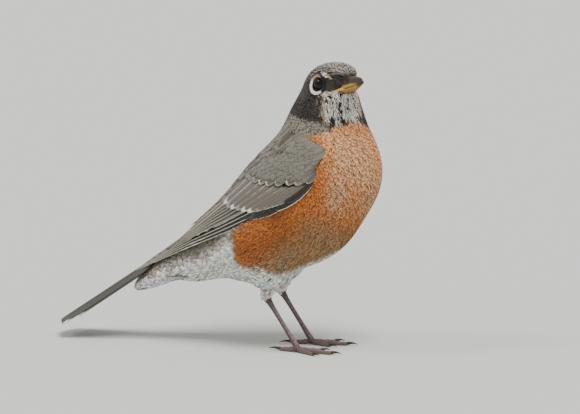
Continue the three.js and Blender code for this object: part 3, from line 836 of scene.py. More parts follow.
def overWing(p):
    # how far the body coat lies over the bend of the wing, 0 to 1, and how much it is raised by it in mm
    cover, raised = np.zeros(p.shape[:-1]), np.zeros(p.shape[:-1])
    for side in (-1, 1):
        a, up = wingChartOf(p, side)
        low, top = curve(wingLow, a), curve(wingTop, a)
        k = ramp(curve(wingFront, up) - a, -0.006, 0.012) * ramp(up - low, -8, -2)
        k = k * ramp(a, -0.08, -0.055) * ramp(top + 8 - up, 0, 6) * (p[..., 1] * side > 0)
        cover = np.maximum(cover, k)
        raised = raised + k * (wingLift(a, up) + 0.25)
    return cover, raised


def underWing(p):
    # True where the folded wing hides the coat
    hidden = np.zeros(p.shape[:-1], bool)
    for side in (-1, 1):
        a, up = wingChartOf(p, side)
        low, top = curve(wingLow, a), curve(wingTop, a)
        gap, over = mix(12, 2.5, ramp(a, 0.22, 0.32)), mix(16, -2, ramp(a, 0.6, 0.7))
        hidden |= (p[..., 1] * side > 0) & (a > 0.02) & (a < 0.95) & (up > low + gap) & (up < top - over)
    return hidden & (overWing(p)[0] < 0.3)


# bill's profile in the head's frame, mm forward against mm up, and its half width
billShape = {
    "culmen": [[6.5, 2.2], [14, 2.1], [19, 1.7], [24, 1], [28, 0.2], [31, -0.6], [33, -1.8], [34.1, -3.4]],
    "cutting": [[6.5, -5.3], [12, -5.2], [20, -4.9], [27, -4.4], [31, -4.1], [34.1, -4]],
    "gonys": [[6.5, -8.9], [14, -8.7], [20, -8], [26, -6.8], [30, -5.5], [32, -4.8], [32.8, -4.5]],
    "half": [[6.5, 5.4], [10, 5], [15, 4.4], [20, 3.7], [25, 2.8], [30, 1.6], [33, 0.7], [34.1, 0.35]],
}


def billClear(p):
    # False where the bill stands
    x, y, z = np.moveaxis(headward(p), -1, 0)
    return ~((x > 11) & (np.abs(y) < curve(billShape["half"], x) + 0.15)
             & (z < curve(billShape["culmen"], x) - 0.4) & (z > curve(billShape["gonys"], x) + 0.5))


# mm of spacing along and across, length, half width and lift of the tip; share ragged; degrees of sway
coatKinds = {
    "face": (1.05, 0.8, 2.6, 0.5, -0.1, 0.3, 8),
    "crown": (1.15, 0.85, 3.8, 0.52, -0.1, 0.35, 10),
    "throat": (1.3, 0.62, 6.0, 0.36, 0.0, 0.4, 8),
    "neck": (1.6, 1.2, 6.0, 0.9, -0.1, 0.4, 9),
    "mantle": (3.0, 2.4, 10, 2.1, 0.1, 0.3, 6),
    "breast": (1.65, 1.25, 6.4, 0.95, 0.1, 0.45, 10),
    "flank": (1.95, 1.25, 9.5, 0.85, 0.1, 0.45, 8),
    "belly": (2.6, 2.0, 10, 1.7, 0.2, 0.5, 12),
    "vent": (3.0, 2.3, 12, 2.1, 0.3, 0.45, 12),
    "tailCoverts": (3.6, 2.7, 12, 2.6, 0.2, 0.25, 6),
}
coatPieces = {
    # piece: regions, side of the body (0 both), nodes, slot
    "crownFeathersRight": (("crown",), -1, ("head",), "head_feathers"),
    "crownFeathersLeft": (("crown",), 1, ("head",), "head_feathers"),
    "faceFeathers": (("face",), 0, ("head",), "head_feathers"),
    "throatFeathers": (("throat",), 0, ("head",), "head_feathers"),
    "neckFeathers": (("neck",), 0, ("neck",), "grey_feathers"),
    "mantleFeathers": (("mantle",), 0, ("trunk",), "grey_feathers"),
    "breastFeathersRight": (("breast",), -1, ("trunk",), "orange_feathers"),
    "breastFeathersLeft": (("breast",), 1, ("trunk",), "orange_feathers"),
    "flankFeathersRight": (("flank",), -1, ("trunk",), "orange_feathers"),
    "flankFeathersLeft": (("flank",), 1, ("trunk",), "orange_feathers"),
    "bellyFeathers": (("belly",), 0, ("trunk",), "vent_feathers"),
    "tailCovertFeathers": (("tailCoverts", "vent"), 0, ("tail_coverts",), "vent_feathers"),
}


def scatter(along, across, random):
    # roots in staggered rows: arc length from the bill and angle round the body, slightly shuffled
    rows = np.arange(0.6, chart["length"].max(), along)
    nearest = np.minimum((rows / rowStep).astype(int), chart["point"].shape[0] - 1)
    girth = chart["data"][nearest, :, 2].mean(1) * 2 * np.pi
    counts = np.maximum(4, girth / across).astype(int)
    l = np.repeat(rows, counts)
    place = np.arange(counts.sum()) - np.repeat(counts.cumsum() - counts, counts)
    stagger = np.repeat(np.arange(len(rows)) % 2 * 0.5, counts)
    v = 2 * np.pi * (place + stagger) / np.repeat(counts, counts)
    l = l + random.normal(0, 0.22, len(l)) * along
    v = v + random.normal(0, 0.2, len(l)) * 2 * np.pi / np.repeat(counts, counts)
    total = np.interp(v % (2 * np.pi), np.arange(chartColumns + 1) * 2 * np.pi / chartColumns,
                      np.append(chart["length"], chart["length"][0]))
    keep = (l > 0.4) & (l < total - 1)
    return l[keep], v[keep] % (2 * np.pi)


def vaneOutline(s):
    # half width along a body feather, narrow at the root, widest past the middle, blunt at the tip
    tip = np.clip((s - 0.55) / 0.5, 0, 1) ** 2.4
    return (0.4 + 0.6 * smooth(s / 0.55)) * np.sqrt(np.clip(1 - tip, 0.05, 1))


broadVane = leaf([0, 0.35, 0.65, 0.86, 1], np.linspace(-1, 1, 7))
middleVane = leaf([0, 0.4, 0.72, 0.9, 1], np.linspace(-1, 1, 5))
fineVane = leaf([0, 0.4, 0.75, 1], np.linspace(-1, 1, 4))
wisp = leaf([0, 0.35, 0.7, 1], np.linspace(-1, 1, 3))


def layVanes(shape, l, v, length, half, lift, ragged, sway, random, thick):
    # each vane bends with the chart: arc = root + along - shear across, angle = root + across / girth;
    # its height climbs from the skin to a little above the form
    s, w, side, _ = shape
    n = len(l)
    jag = random.uniform(0, 1, (n, 7))[:, np.clip(np.rint((w + 1) * 3), 0, 6).astype(int)]
    reachOut = s - (ragged * jag + 0.1 * w * w) * smooth((s - 0.6) / 0.4) * 0.7
    y = length[:, None] * reachOut
    x = half[:, None] * vaneOutline(s) * w
    lean = np.tan(sway)[:, None]
    curl = random.normal(0, 0.05, n)[:, None]
    x = x + y * lean + curl * y * y / length[:, None]
    root = sample(chart["data"], l, v)
    ll = l[:, None] + y - root[:, 1:2] * x / root[:, 2:3]
    vv = v[:, None] + x / root[:, 2:3]
    depth = coatDepth(root[:, 0])[:, None]
    height = lift[:, None] * s * s - 0.82 * depth * (1 - s) ** 2.3
    height = height + 0.12 * half[:, None] * (1 - w * w) * s + thick * side
    points = sample(chart["point"], ll, vv)
    height = height + overWing(points)[1] * smooth(s / 0.35)
    return points + sample(chart["normal"], ll, vv) * height[..., None]


def featherSet(shape, points, tint, tipAmount, fringe, edgeAmount, spot):
    # one batch of feathers: on the baking map each takes a small square at its spot
    n, m = points.shape[:2]
    s, w, _, faces = shape
    local = np.broadcast_to(np.stack([(w + 1) / 2, s], -1), (n, m, 2))
    return {"points": points, "faces": repeatFaces(faces, m, n), "vane": local,
            "OFBake": np.atleast_2d(spot)[:, None] + (local - 0.5) * patchSize,
            "tint": rgba(tint, tipAmount, (n, m)), "fringe": rgba(fringe, edgeAmount, (n, m))}


def joinSets(name, sets, nodes, material):
    # batches of feathers as one piece
    def joined(key):
        return np.concatenate([part[key].reshape(-1, part[key].shape[-1]) for part in sets])

    starts = np.cumsum([0] + [part["tint"].size // 4 for part in sets])
    faces = np.concatenate([part["faces"] + start for part, start in zip(sets, starts)])
    makePiece(name, joined("points"), faces, nodes, material,
              {key: joined(key) for key in ("vane", "OFBake")},
              {key: joined(key) for key in ("tint", "fringe")})
    print(name, len(faces) * 2, "triangles")


def clearOfEyes(p, length):
    # which roots stand clear of the eyes' openings, and what share of their length those ahead keep
    keep, share = np.ones(len(p), bool), np.ones(len(p))
    for centre, axis in eyeAxes.values():
        d = p - centre
        off = np.linalg.norm(d - (d @ axis)[:, None] * axis, axis=-1)
        near = (d @ axis > 0) & (off < eyeRoom["near"])
        keep &= ~(near & (off < eyeRoom["bare"]))
        ahead = headward(p)[:, 0] > headward(centre)[0] + 0.5
        share = np.where(near & ahead, np.minimum(share, (off - eyeRoom["rim"]) / length), share)
    return keep, np.clip(share, 0.25, 1)


def makeCoat(name):
    # the regions of one piece, each with its vanes and then finer wisps between them
    regions, bodySide, nodes, slotName = coatPieces[name]
    random = np.random.default_rng(sum(ord(c) for c in name))
    sets = []
    for region in regions:
        along, across, length, half, lift, ragged, sway = coatKinds[region]
        small = region in ("face", "crown", "throat")
        first = fineVane if small else middleVane if region in ("neck", "breast", "flank") else broadVane
        # vane, spacings, share of the length and width, raised by, ragged, sway, thickness
        plans = [(first, along, across, 1.0, 1.0, 0, ragged, sway, 0.05)]
        if region != "face":
            nearer, closer, narrow = (0.8, 0.8, 0.35) if small else (0.62, 0.55, 0.2)
            plans.append((wisp, along * nearer, across * closer, 0.75, narrow, 0.1, 0.0, sway * 1.5, 0.06))
        for shape, stepAlong, stepAcross, lengthBy, halfBy, raised, jag, swing, thick in plans:
            l, v = scatter(stepAlong, stepAcross, random)
            p = sample(chart["point"], l, v)
            shownAt = l + 0.7 * length * lengthBy
            seen, t = sample(chart["point"], shownAt, v), sample(chart["data"], shownAt, v)[:, 0]
            clear, share = clearOfEyes(p, length)
            keep = (regionOf(seen, t, v) == region) & ~underWing(seen) & billClear(p) & clear
            if bodySide:
                keep &= np.sign(fromBelly(v)) * bodySide >= 0
            l, v, seen, t, share = (x[keep] for x in (l, v, seen, t, share))
            n = len(l)
            tint, fringe, amount = plumage(seen, t, v)
            amount = amount * (random.uniform(0, 1, n) < 0.25 + amount)
            tint = tint * random.normal(1, 0.07, n)[:, None]
            lengths = length * lengthBy * share * random.uniform(0.85, 1.15, n)
            wide = half * halfBy * random.uniform(0.85, 1.15, n)
            lifts = lift * random.uniform(0.4, 1.3, n) + raised
            turns = random.normal(0, swing, n) * deg
            points = layVanes(shape, l, v, lengths, wide, lifts, jag, turns, random, thick)
            sets.append(featherSet(shape, points, tint, 1.0, fringe, amount, unwrapped(l, v)))
    joinSets(name, sets, nodes, coatMaterials[slotName])


coatMaterials = {
    "head_feathers": featherMaterial("hoodVanes", 0.7, 0.1, 9, 0.62, sideFringe=0.7),
    "grey_feathers": featherMaterial("greyVanes", 0.75, 0.15, 22, 0.7, depth=0.2),
    "orange_feathers": featherMaterial("orangeVanes", 0.8, 0.15, 14, 0.8, depth=0.16, sideFringe=0.2,
                                       shaft=0.2),
    "vent_feathers": featherMaterial("whiteVanes", 0.85, 0.15, 20, 0.66, depth=0.08, shaft=0.2),
}
for name in coatPieces:
    makeCoat(name)


def makeSleeves():
    # downy sleeves of the shins: vanes over the tapering tube from the flank to the ankle
    tones, slotName = plumageTones, "vent_feathers"
    for name, seed, outside in (("right", 31, -1), ("left", 32, 1)):
        random = np.random.default_rng(seed)
        k, angle = np.meshgrid(np.arange(-0.35, 0.96, 0.085), np.arange(0, 1, 1 / 26) * 2 * np.pi,
                               indexing="ij")
        k = k.ravel() + random.normal(0, 0.025, k.size)
        angle = angle.ravel() + random.normal(0, 0.1, k.size)
        n = len(k)
        s, w, side, _ = fineVane
        length = random.uniform(0.3, 0.46, n)[:, None] * (1 - 0.35 * smooth(k))[:, None]
        kk = k[:, None] + length * (s - 0.25 * random.uniform(0, 1, (n, 1)) * (s > 0.9) - 0.05 * w * w * s)
        radius = mix(6.2, 3.1, np.clip(kk, 0, 1))
        sway = np.tan(random.normal(0, 9, n) * deg)[:, None]
        x = random.uniform(0.8, 1.15, n)[:, None] * 1.05 * vaneOutline(s) * w + length * 15 * s * sway
        height = random.uniform(0, 0.5, n)[:, None] * s * s - 0.8 * (1 - s) ** 1.8 + 0.05 * side
        height = height - 2.3 * smooth(-kk / 0.3) - 0.4 * smooth((kk - 0.95) / 0.15)
        points = onSleeve(name, kk, angle[:, None] + x / radius, height)
        patch = speckle(angle * 2.5, k * 5, 21)
        tint = mix(tones["white"], tones["ventGrey"], ramp(patch, 0.35, 0.7)[:, None])
        grey = ramp(np.cos(angle) * outside, -0.4, 0.6) * ramp(patch, 0.5, 0.75)
        tint = mix(tint, tones["greyDark"] * 1.2, (0.55 * grey)[:, None])
        tint = tint * random.normal(1, 0.07, n)[:, None]
        batch = featherSet(fineVane, points, tint, 1.0, mix(tint, tones["white"], 0.4), 0.8,
                           sleeveSpot(name, k, angle))
        joinSets("sleeve" + name.title(), [batch], (f"leg_{name}_thigh",), coatMaterials[slotName])


makeSleeves()
print("body coat made")


# first value, last value and count of the wing's table
wingSpan = {"a": (-0.12, 1.12, 94), "up": (-40, 100, 106)}


def towards(side, up):
    # direction so many degrees above the bird's side
    return np.array([0, side, 0.0]) * np.cos(up * deg)[..., None] + wingUp * np.sin(up * deg)[..., None]


def onAxis(a):
    # point of the line from wrist to tip
    return wrist + wingAlong * (a * wingLength)[..., None]


def tabulateWing():
    # distance from the wing's axis to the draped form, along it and round it in degrees above the side
    a, up = np.meshgrid(np.linspace(*wingSpan["a"]), np.linspace(*wingSpan["up"]), indexing="ij")
    return reach(onAxis(a), towards(1, up), drapeField)


wingTable = tabulateWing()


def wingReach(a, up):
    # straight-line value of the table, with the wing's own lift
    def cell(x, first, last, count):
        place = np.clip((x - first) / (last - first) * (count - 1), 0, count - 2.001)
        return place.astype(int), place % 1

    (i, fi), (j, fj) = cell(a, *wingSpan["a"]), cell(up, *wingSpan["up"])
    low = mix(wingTable[i, j], wingTable[i, j + 1], fj)
    high = mix(wingTable[i + 1, j], wingTable[i + 1, j + 1], fj)
    return mix(low, high, fi) + wingLift(a, up)


def onWing(side, a, up, height):
    # point at a along wrist to tip, up degrees above the side, height off the folded wing's outer surface
    return onAxis(a) + towards(side, up) * (wingReach(a, up) + height)[..., None]


def quillMaterial(name, barbs=60, depth=0.16, edgeWide=0.1, tipFrom=0.93):
    # flight feather or covert: pale outer edge and tip, dark shaft, fine slanting barbs
    material, nodes, links, shader = nodeMaterial(name, 0.6, 0.3, 0.1)
    sums = Sums(nodes, links)
    x, along = vanePlace(nodes, links)
    wander = sums("MULTIPLY_ADD", softNoise(nodes, links, 700, 3), 1.0, -0.5)
    across = sums("ABSOLUTE", sums("SUBTRACT", x, 0.4))
    wave = barbWave(sums, along, across, wander, 0.35, barbs, 3.0)
    tint, fringe = attribute(nodes, "tint"), attribute(nodes, "fringe")
    edge = sums("MULTIPLY_ADD", wander, edgeWide * 0.7, x)
    rim = sums("SUBTRACT", 1.0, sums.step(edge, edgeWide * 0.55, edgeWide * 1.3))
    end = sums("MULTIPLY_ADD", sums("MULTIPLY", across, across), 0.25, along)
    tip = sums.step(sums("MULTIPLY_ADD", wander, 0.06, end), tipFrom, tipFrom + 0.05)
    amount = sums("MAXIMUM", sums("MULTIPLY", rim, fringe.outputs["Alpha"]),
                  sums("MULTIPLY", tip, tint.outputs["Alpha"]))
    colour = mixColours(nodes, links, amount, tint.outputs["Color"], fringe.outputs["Color"])
    line = sums("SUBTRACT", 1.0, sums.step(across, 0.012, 0.05))
    dark = sums("MULTIPLY_ADD", wave, depth * 0.5, 1.0)
    dark = sums("MULTIPLY", dark, sums("MULTIPLY_ADD", line, -0.4, 1.0))
    dark = sums("MULTIPLY", dark, sums("MULTIPLY_ADD", wander, 0.3, 1.0))
    finishSurface(nodes, links, shader, colour, dark, wave, 0.25)
    return material


quillMaterials = {"flight_feathers": quillMaterial("flightVanes", edgeWide=0.17),
                  "grey_feathers": quillMaterial("covertVanes", barbs=16, edgeWide=0.13, tipFrom=0.88)}
primaryMaterial = quillMaterial("primaryVanes", edgeWide=0.1)
wingTones = {
    "lesser": tone("7a756b"), "lesserEdge": tone("8e897e"), "lesserDark": tone("66635a"),
    "median": tone("7b756c"), "medianEdge": tone("d8d1c4"), "medianDark": tone("4c443c"),
    "greater": tone("696258"), "greaterEdge": tone("d8d0c2"), "greaterTip": tone("f0ebe1"),
    "dark": tone("2b2724"), "darkEdge": tone("d0cabd"), "alula": tone("27221f"), "alulaEdge": tone("ebe6dc"),
    "secondary": tone("3d3832"), "secondaryEdge": tone("a69e90"), "tertial": tone("655e53"),
    "tertialEdge": tone("b9b1a3"), "primary": tone("23201d"), "primaryEdge": tone("d9d2c4"),
    "scapular": tone("7b7266"), "scapularDark": tone("4e443c"), "scapularEdge": tone("938a7c"),
    # painted shade: the dark of the sheet that shows in the gaps between the wing's feathers
    "under": tone("37322d"),
}
medianTips = [[4.5, 0.06], [5, 0.1], [10, 0.15], [12.5, 0.17], [18.5, 0.23], [25, 0.27], [34, 0.31],
              [45, 0.34], [60, 0.355]]


def quillOutline(s, point=0.6):
    # half width along a flight feather: nearly even, drawn in at the root, rounded off past point
    tip = np.clip((s - point) / (1.02 - point), 0, 1) ** 3
    return (0.45 + 0.55 * smooth(s / 0.35)) * np.sqrt(np.clip(1 - tip, 0.02, 1))


longQuill = leaf(np.concatenate([np.linspace(0, 0.8, 13), [0.86, 0.91, 0.95, 0.98, 1]]),
                 np.linspace(-1, 1, 7))
shortQuill = leaf([0, 0.2, 0.4, 0.6, 0.75, 0.87, 0.95, 1], np.linspace(-1, 1, 7))
covertVane = leaf([0, 0.35, 0.65, 0.88, 1], np.linspace(-1, 1, 5))


def wingSpot(a, up):
    # place of a wing feather on the baking map
    return np.stack([0.05 + 0.85 * a, 0.05 + 0.9 * (up + 20) / 120], -1)


def wingRow(side, rows, shape, random, tint, tipAmount, fringe, edgeAmount, drop, shade, bend=0.0):
    # rows: root a, root up, tip a, tip up, half width in mm, height at the tip; the outer edge lies below
    rows = np.array(rows, float)
    s, w, below, _ = shape
    a0, u0, a1, u1, half, height = (rows[:, i:i + 1] for i in range(6))
    a = mix(a0, a1, s - 0.012 * w * w * s)
    up = mix(u0, u1, s) + bend * 4 * s * (1 - s)
    up = up + half * quillOutline(s) * w / np.maximum(wingReach(a, up), 2.5) / deg
    h = height - drop * (1 - s) ** 1.4 + 0.18 * (1 - w * w) - 0.08 * w + 0.09 * below
    tint = tint * random.normal(1, shade, len(rows))[:, None]
    return featherSet(shape, onWing(side, a, up, h), tint, tipAmount, fringe, edgeAmount,
                      wingSpot(rows[:, 2], rows[:, 3]))


def blade(side, a0, a1, high):
    # plain dark sheet under the feathers, so that nothing shows between them: its colour is painted shade
    shape = leaf(np.linspace(0, 1, 26), np.linspace(-1, 1, 15))
    s, w, below, _ = shape
    a = mix(a0, a1, s)[None]
    low, top = curve(wingLow, a) + 1.2, np.minimum(curve(wingTop, a), 76) - 1
    points = onWing(side, a, mix(low, top, (w + 1) / 2), high + 0.35 * below)
    return featherSet(shape, points, wingTones["under"], 0, wingTones["under"], 0, (0.5, 0.02))


coverts = {
    # degrees up, share of dark and paleness of the tip of each median covert
    "median": [(4.8, 0.7, 0.75), (8, 0.1, 0.5), (12, 0.55, 0.8), (16.5, 0.1, 0.3), (21.5, 0.6, 0.7),
               (27, 0.1, 0.8), (33, 0.3, 0.3), (40, 0.2, 0.2), (48, 0.1, 0.1)],
    # place of the tip, degrees up, paleness of the tip, and 1 where that is white, of each greater covert
    "greater": [(0.235, -2.5, 0.1, 0), (0.275, -1, 0.1, 0), (0.31, 0.5, 0.15, 0), (0.345, 2.5, 0.3, 0),
                (0.378, 5, 0.95, 1), (0.405, 9.5, 0.95, 1), (0.43, 15, 0.35, 0), (0.455, 21, 0.95, 1),
                (0.475, 27.5, 0.3, 0), (0.485, 36, 0.9, 1), (0.5, 46, 0.2, 0), (0.51, 56, 0.2, 0)],
    # place and degrees of the root, then of the tip, half width, height at the tip
    "primary": [(0.15, 1, 0.345, 1, 1.9, -0.86), (0.15, -0.5, 0.37, -0.8, 1.9, -0.9),
                (0.14, -2, 0.385, -2.6, 1.9, -0.94), (0.14, -4, 0.375, -4.2, 1.9, -0.98),
                (0.13, -5, 0.35, -5.8, 1.9, -1.02), (0.12, -6, 0.32, -7.2, 1.8, -1.06)],
    "alula": [(0.07, 1.5, 0.205, -3.6, 1.8, -0.5), (0.07, -1, 0.255, -6.4, 2.0, -0.6)],
}


def staggered(first, second, shakes, random):
    # grid of places with every other row moved by half a step, shuffled a little
    a, k = np.meshgrid(first, second, indexing="ij")
    k = k + np.arange(len(k))[:, None] % 2 * (second[1] - second[0]) / 2
    return [(x + random.normal(0, shake, x.shape)).ravel() for x, shake in zip((a, k), shakes)]


def smallCoverts(side, random):
    # lesser coverts of the bend of the wing, and the shoulder feathers over its upper edge
    tones = wingTones
    a, k = staggered(np.arange(-0.07, 0.3, 0.0145), np.arange(0, 1, 0.05), (0.002, 0.008), random)
    up = mix(curve(wingLow, a) + 1, 52, k)
    keep = (a + 0.045 < curve(medianTips, up) - 0.03) & (a > np.maximum(curve(wingFront, up) - 0.03, -0.046))
    a, up = a[keep], up[keep]
    n = len(a)
    rows = np.stack([a, up + 2, a + random.uniform(0.05, 0.062, n), up - 1 + random.normal(0, 1.5, n),
                     random.uniform(1.4, 1.8, n), -0.05 + 0.004 * up + random.uniform(0, 0.12, n)], -1)
    tint = mix(tones["lesser"], tones["lesserDark"], random.uniform(0, 0.8, (n, 1)))
    lesser = wingRow(side, rows, covertVane, random, tint, 0.25, tones["lesserEdge"], 0.25, 0.5, 0.04)
    a, up = staggered(np.arange(0.03, 0.63, 0.03), np.arange(38, 93, 4.8), (0.004, 0.8), random)
    keep = (up < curve(wingTop, a) + 11 + 20 * ramp(a, 0.5, 0.6)) & ((a < 0.49) | (up > 66))
    keep &= (up > 36 + 120 * np.minimum(a, 0.16)) & (a > curve(wingFront, up) - 0.03)
    a, up = a[keep], up[keep]
    n = len(a)
    rows = np.stack([a, up, a + random.uniform(0.08, 0.105, n), up - 1.5 + random.normal(0, 1.4, n),
                     random.uniform(1.9, 2.4, n), 0.2 + 0.005 * (up - 42) + random.uniform(0, 0.2, n)], -1)
    dark = (random.uniform(0, 1, n) < 0.3) * random.uniform(0.4, 1, n) + random.uniform(0, 0.25, n)
    tint = mix(tones["scapular"], tones["scapularDark"], dark[:, None])
    return [lesser, wingRow(side, rows, covertVane, random, tint, 0.5, tones["scapularEdge"], 0.5, 1.0, 0.06)]


def largeCoverts(side, random):
    # median and greater coverts, the primaries' own ones below them, and the alula
    tones = wingTones
    up, dark, pale = np.array(coverts["median"]).T
    tip, i = curve(medianTips, up), np.arange(len(up))
    rows = np.stack([np.maximum(tip - 0.085, 0.035), up + 3, tip, up, np.full(len(up), 2.9),
                     -0.3 + 0.03 * i], -1)
    tint = mix(tones["median"], tones["medianDark"], dark[:, None])
    sets = [wingRow(side, rows, shortQuill, random, tint, pale, tones["medianEdge"], 0.45, 0.6, 0.04)]
    tip, up, pale, white = np.array(coverts["greater"]).T
    i = np.arange(len(up))
    rows = np.stack([np.maximum(tip - 0.22, 0.075), up + 2.5, tip, up, 2.2 + 0.07 * i, -0.68 + 0.045 * i], -1)
    edge = np.where(white[:, None] > 0, tones["greaterTip"], tones["greaterEdge"])
    sets.append(wingRow(side, rows, shortQuill, random, tones["greater"], pale, edge, 0.95, 0.5, 0.05))
    sets.append(wingRow(side, coverts["primary"], shortQuill, random, tones["dark"], 0.05, tones["darkEdge"],
                        0.9, 0.3, 0.05))
    sets.append(wingRow(side, coverts["alula"], shortQuill, random, tones["alula"], 0, tones["alulaEdge"],
                        (0.1, 1), 0.3, 0.02, -2.6))
    return sets


# upper edges of the stacks of primaries and secondaries, in degrees by place
primaryTop = [[0.28, 4], [0.5, 8], [0.6, 10], [0.7, 13], [0.8, 16.5], [0.9, 17.5], [1, 16]]
innerTop = [[0.3, 42], [0.5, 44], [0.6, 42], [0.68, 34], [0.72, 26], [0.8, 19.5], [0.9, 18]]
quills = {
    # rows as for the coverts
    "tertials": [(0.36, 62, 0.6, 62, 3.4, 0), (0.36, 52, 0.65, 50, 3.2, -0.1),
                 (0.36, 44, 0.695, 37, 3.0, -0.2)],
    # place of the tip, and share of the way up the stack
    "secondaries": [(0.815, 0.02), (0.81, 0.15), (0.8, 0.28), (0.785, 0.41), (0.77, 0.54), (0.75, 0.66),
                    (0.73, 0.77), (0.71, 0.88), (0.69, 0.97)],
    # the same, then the vane's width in mm and how pale its edge is
    "primaries": [(0.985, 0.01, 5.6, 1), (1, 0.34, 5.6, 1), (0.99, 0.67, 6, 1), (0.965, 0.97, 7, 1),
                  (0.93, 1.12, 8, 0.75), (0.895, 1.26, 8, 0.75), (0.86, 1.4, 8, 0.75),
                  (0.825, 1.52, 8, 0.75)],
}


def stackedQuills(side, root, tips, place, low, high, wide, level, cap, tint, edge, edgeAmount, random):
    # feathers stacked up the wing: each outer edge lies its share of the way from low to high, and no vane
    # rises past cap
    s, w, below, _ = longQuill
    n = len(tips)
    a = mix(root, tips[:, None], s)
    edgeUp = mix(curve(low, a), curve(high, a), place[:, None])
    radius = np.maximum(wingReach(a, edgeUp), 2.2)
    up = edgeUp + wide * quillOutline(s, 0.72) * (w + 1) / radius / deg * 0.58
    up = np.minimum(up + (1 - quillOutline(s, 0.86)) * 1.6 / radius / deg, cap(a))
    h = level[0] + level[1] * np.arange(n)[:, None] - 0.3 * (1 - s)
    h = h - 0.17 * w + 0.05 * (1 - w * w) + 0.06 * below
    tint = tint * random.normal(1, 0.04, n)[:, None]
    return featherSet(longQuill, onWing(side, a, up, h), tint, 0.25, edge, edgeAmount,
                      wingSpot(tips, tips * 10))


def innerQuills(side, random):
    # three tertials over the stack of secondaries
    tones = wingTones
    tint = np.stack([tones["dark"] * 1.3, tones["tertial"], tones["tertial"]])
    sets = [wingRow(side, quills["tertials"], longQuill, random, tint, 0.7, tones["tertialEdge"], 1, 0.6,
                    0.03)]
    tips, place = np.array(quills["secondaries"]).T
    tint = tones["secondary"] * mix(0.8, 1.1, np.linspace(0, 1, len(tips)))[:, None]
    sets.append(stackedQuills(side, 0.33, tips, place, primaryTop, innerTop, 5.2, (-0.85, 0.06),
                              lambda a: curve(innerTop, a) + 14, tint, tones["secondaryEdge"], 1.0, random))
    return sets


def outerQuills(side, random):
    # the stack of primaries
    tips, place, wide, pale = np.array(quills["primaries"]).T
    return [stackedQuills(side, 0.28, tips, place, wingLow, primaryTop, wide[:, None], (-2.05, 0.08),
                          lambda a: 34 + 26 * ramp(a, 0.64, 0.74), wingTones["primary"],
                          wingTones["primaryEdge"], pale, random)]


wingPieces = {
    # piece: slot, material, what lies on it, and the blade under it by first place, last place and height
    "Coverts": ("grey_feathers", quillMaterials["grey_feathers"], (smallCoverts, largeCoverts),
                (0.03, 0.45, -2.4)),
    "Secondaries": ("flight_feathers", quillMaterials["flight_feathers"], (innerQuills,), (0.4, 0.7, -2.6)),
    "Primaries": ("flight_feathers", primaryMaterial, (outerQuills,), (0.66, 0.97, -2.7)),
}


def makeWings():
    # both wings from the same random draws
    for name, side in (("right", -1), ("left", 1)):
        random = np.random.default_rng(50)
        for part, (slotName, material, makers, sheet) in wingPieces.items():
            sets = [batch for maker in makers for batch in maker(side, random)] + [blade(side, *sheet)]
            joinSets(f"wing{part}{name.title()}", sets, (f"wing_{name}_{part.lower()}",), material)


makeWings()

tail = {"root": (-84, 0, 52), "end": (-146, 0, 9.3), "rootHalf": 9, "endHalf": 16, "roof": 3.2,
        "tone": tone("37332f"), "low": tone("5f5c4f"), "edge": tone("6c675e"), "white": tone("e8e4da")}


def makeTail():
    # twelve feathers on a shallow roof, each outer one lower and further out: place runs from -1 to 1
    # across the fan, and the roof falls with its square
    root, end = np.array(tail["root"], float), np.array(tail["end"], float)
    along = end - root
    normal = unit(np.array([along[2], 0, -along[0]]))
    s, w, below, _ = longQuill
    for piece, node, picks in (("tailMiddle", "tail_centre", [(0, -1), (0, 1)]),
                               ("tailLeft", "tail_left", [(i, 1) for i in range(1, 6)]),
                               ("tailRight", "tail_right", [(i, -1) for i in range(1, 6)])):
        sets = []
        for i, side in picks:
            outermost = i == 5
            k = 0.12 + 0.88 * s * (1 - 0.006 * i)
            half = mix(tail["rootHalf"], tail["endHalf"], np.clip(k, 0, 1) ** 0.8)
            place = np.clip(side * (0.3 + 0.14 * i - 0.26 * (1 - w) * quillOutline(s, 0.9)), -1, 1)
            lower = 0.16 * i + (0.06 if side > 0 else 0)
            p = root + along * k[:, None] + np.stack([0 * k, place * half, 0 * k], -1)
            p = p + unit(along) * (-2.4 * np.clip((k - 0.9) * 10, 0, 1) * place**2)[:, None]
            p = p + normal * (-tail["roof"] * place**2 - lower + 0.12 * (1 - w * w) + 0.1 * below)[:, None]
            shade = tail["tone"] if i < 3 else mix(tail["tone"], tail["low"], 0.3)
            sets.append(featherSet(longQuill, p[None], shade, 1.0 if outermost else 0.15,
                                   tail["white" if outermost else "edge"], 0.8 if outermost else 0.3,
                                   (0.92, 0.05 + 0.07 * i + (0.035 if side > 0 else 0))))
        joinSets(piece, sets, (node,), quillMaterials["flight_feathers"])


makeTail()
print("wings and tail made")


# deep: partly the lower mandible's own ochre, partly painted shade on it
billTones = {"yellow": tone("cf9c33"), "deep": tone("9c6c2c"), "dusk": tone("221d1b"), "pale": tone("e0b65a"),
             "gape": tone("d9a43c"), "nostril": tone("120d0a"), "bristle": tone("15110f")}
gape = {"from": 10.4, "to": 17.5, "z": (-5.7, -5.0), "out": 8, "size": (0.3, 0.95), "rows": 16}
bristles = {"count": 13, "x": (11.5, 15.5), "z": (-4.6, 1.4), "out": 7, "length": (3, 6), "thick": 0.09}
chin = {"count": 240, "from": 11, "to": 21.5, "length": (2.8, 4.8), "half": 0.36, "dark": 0.22}


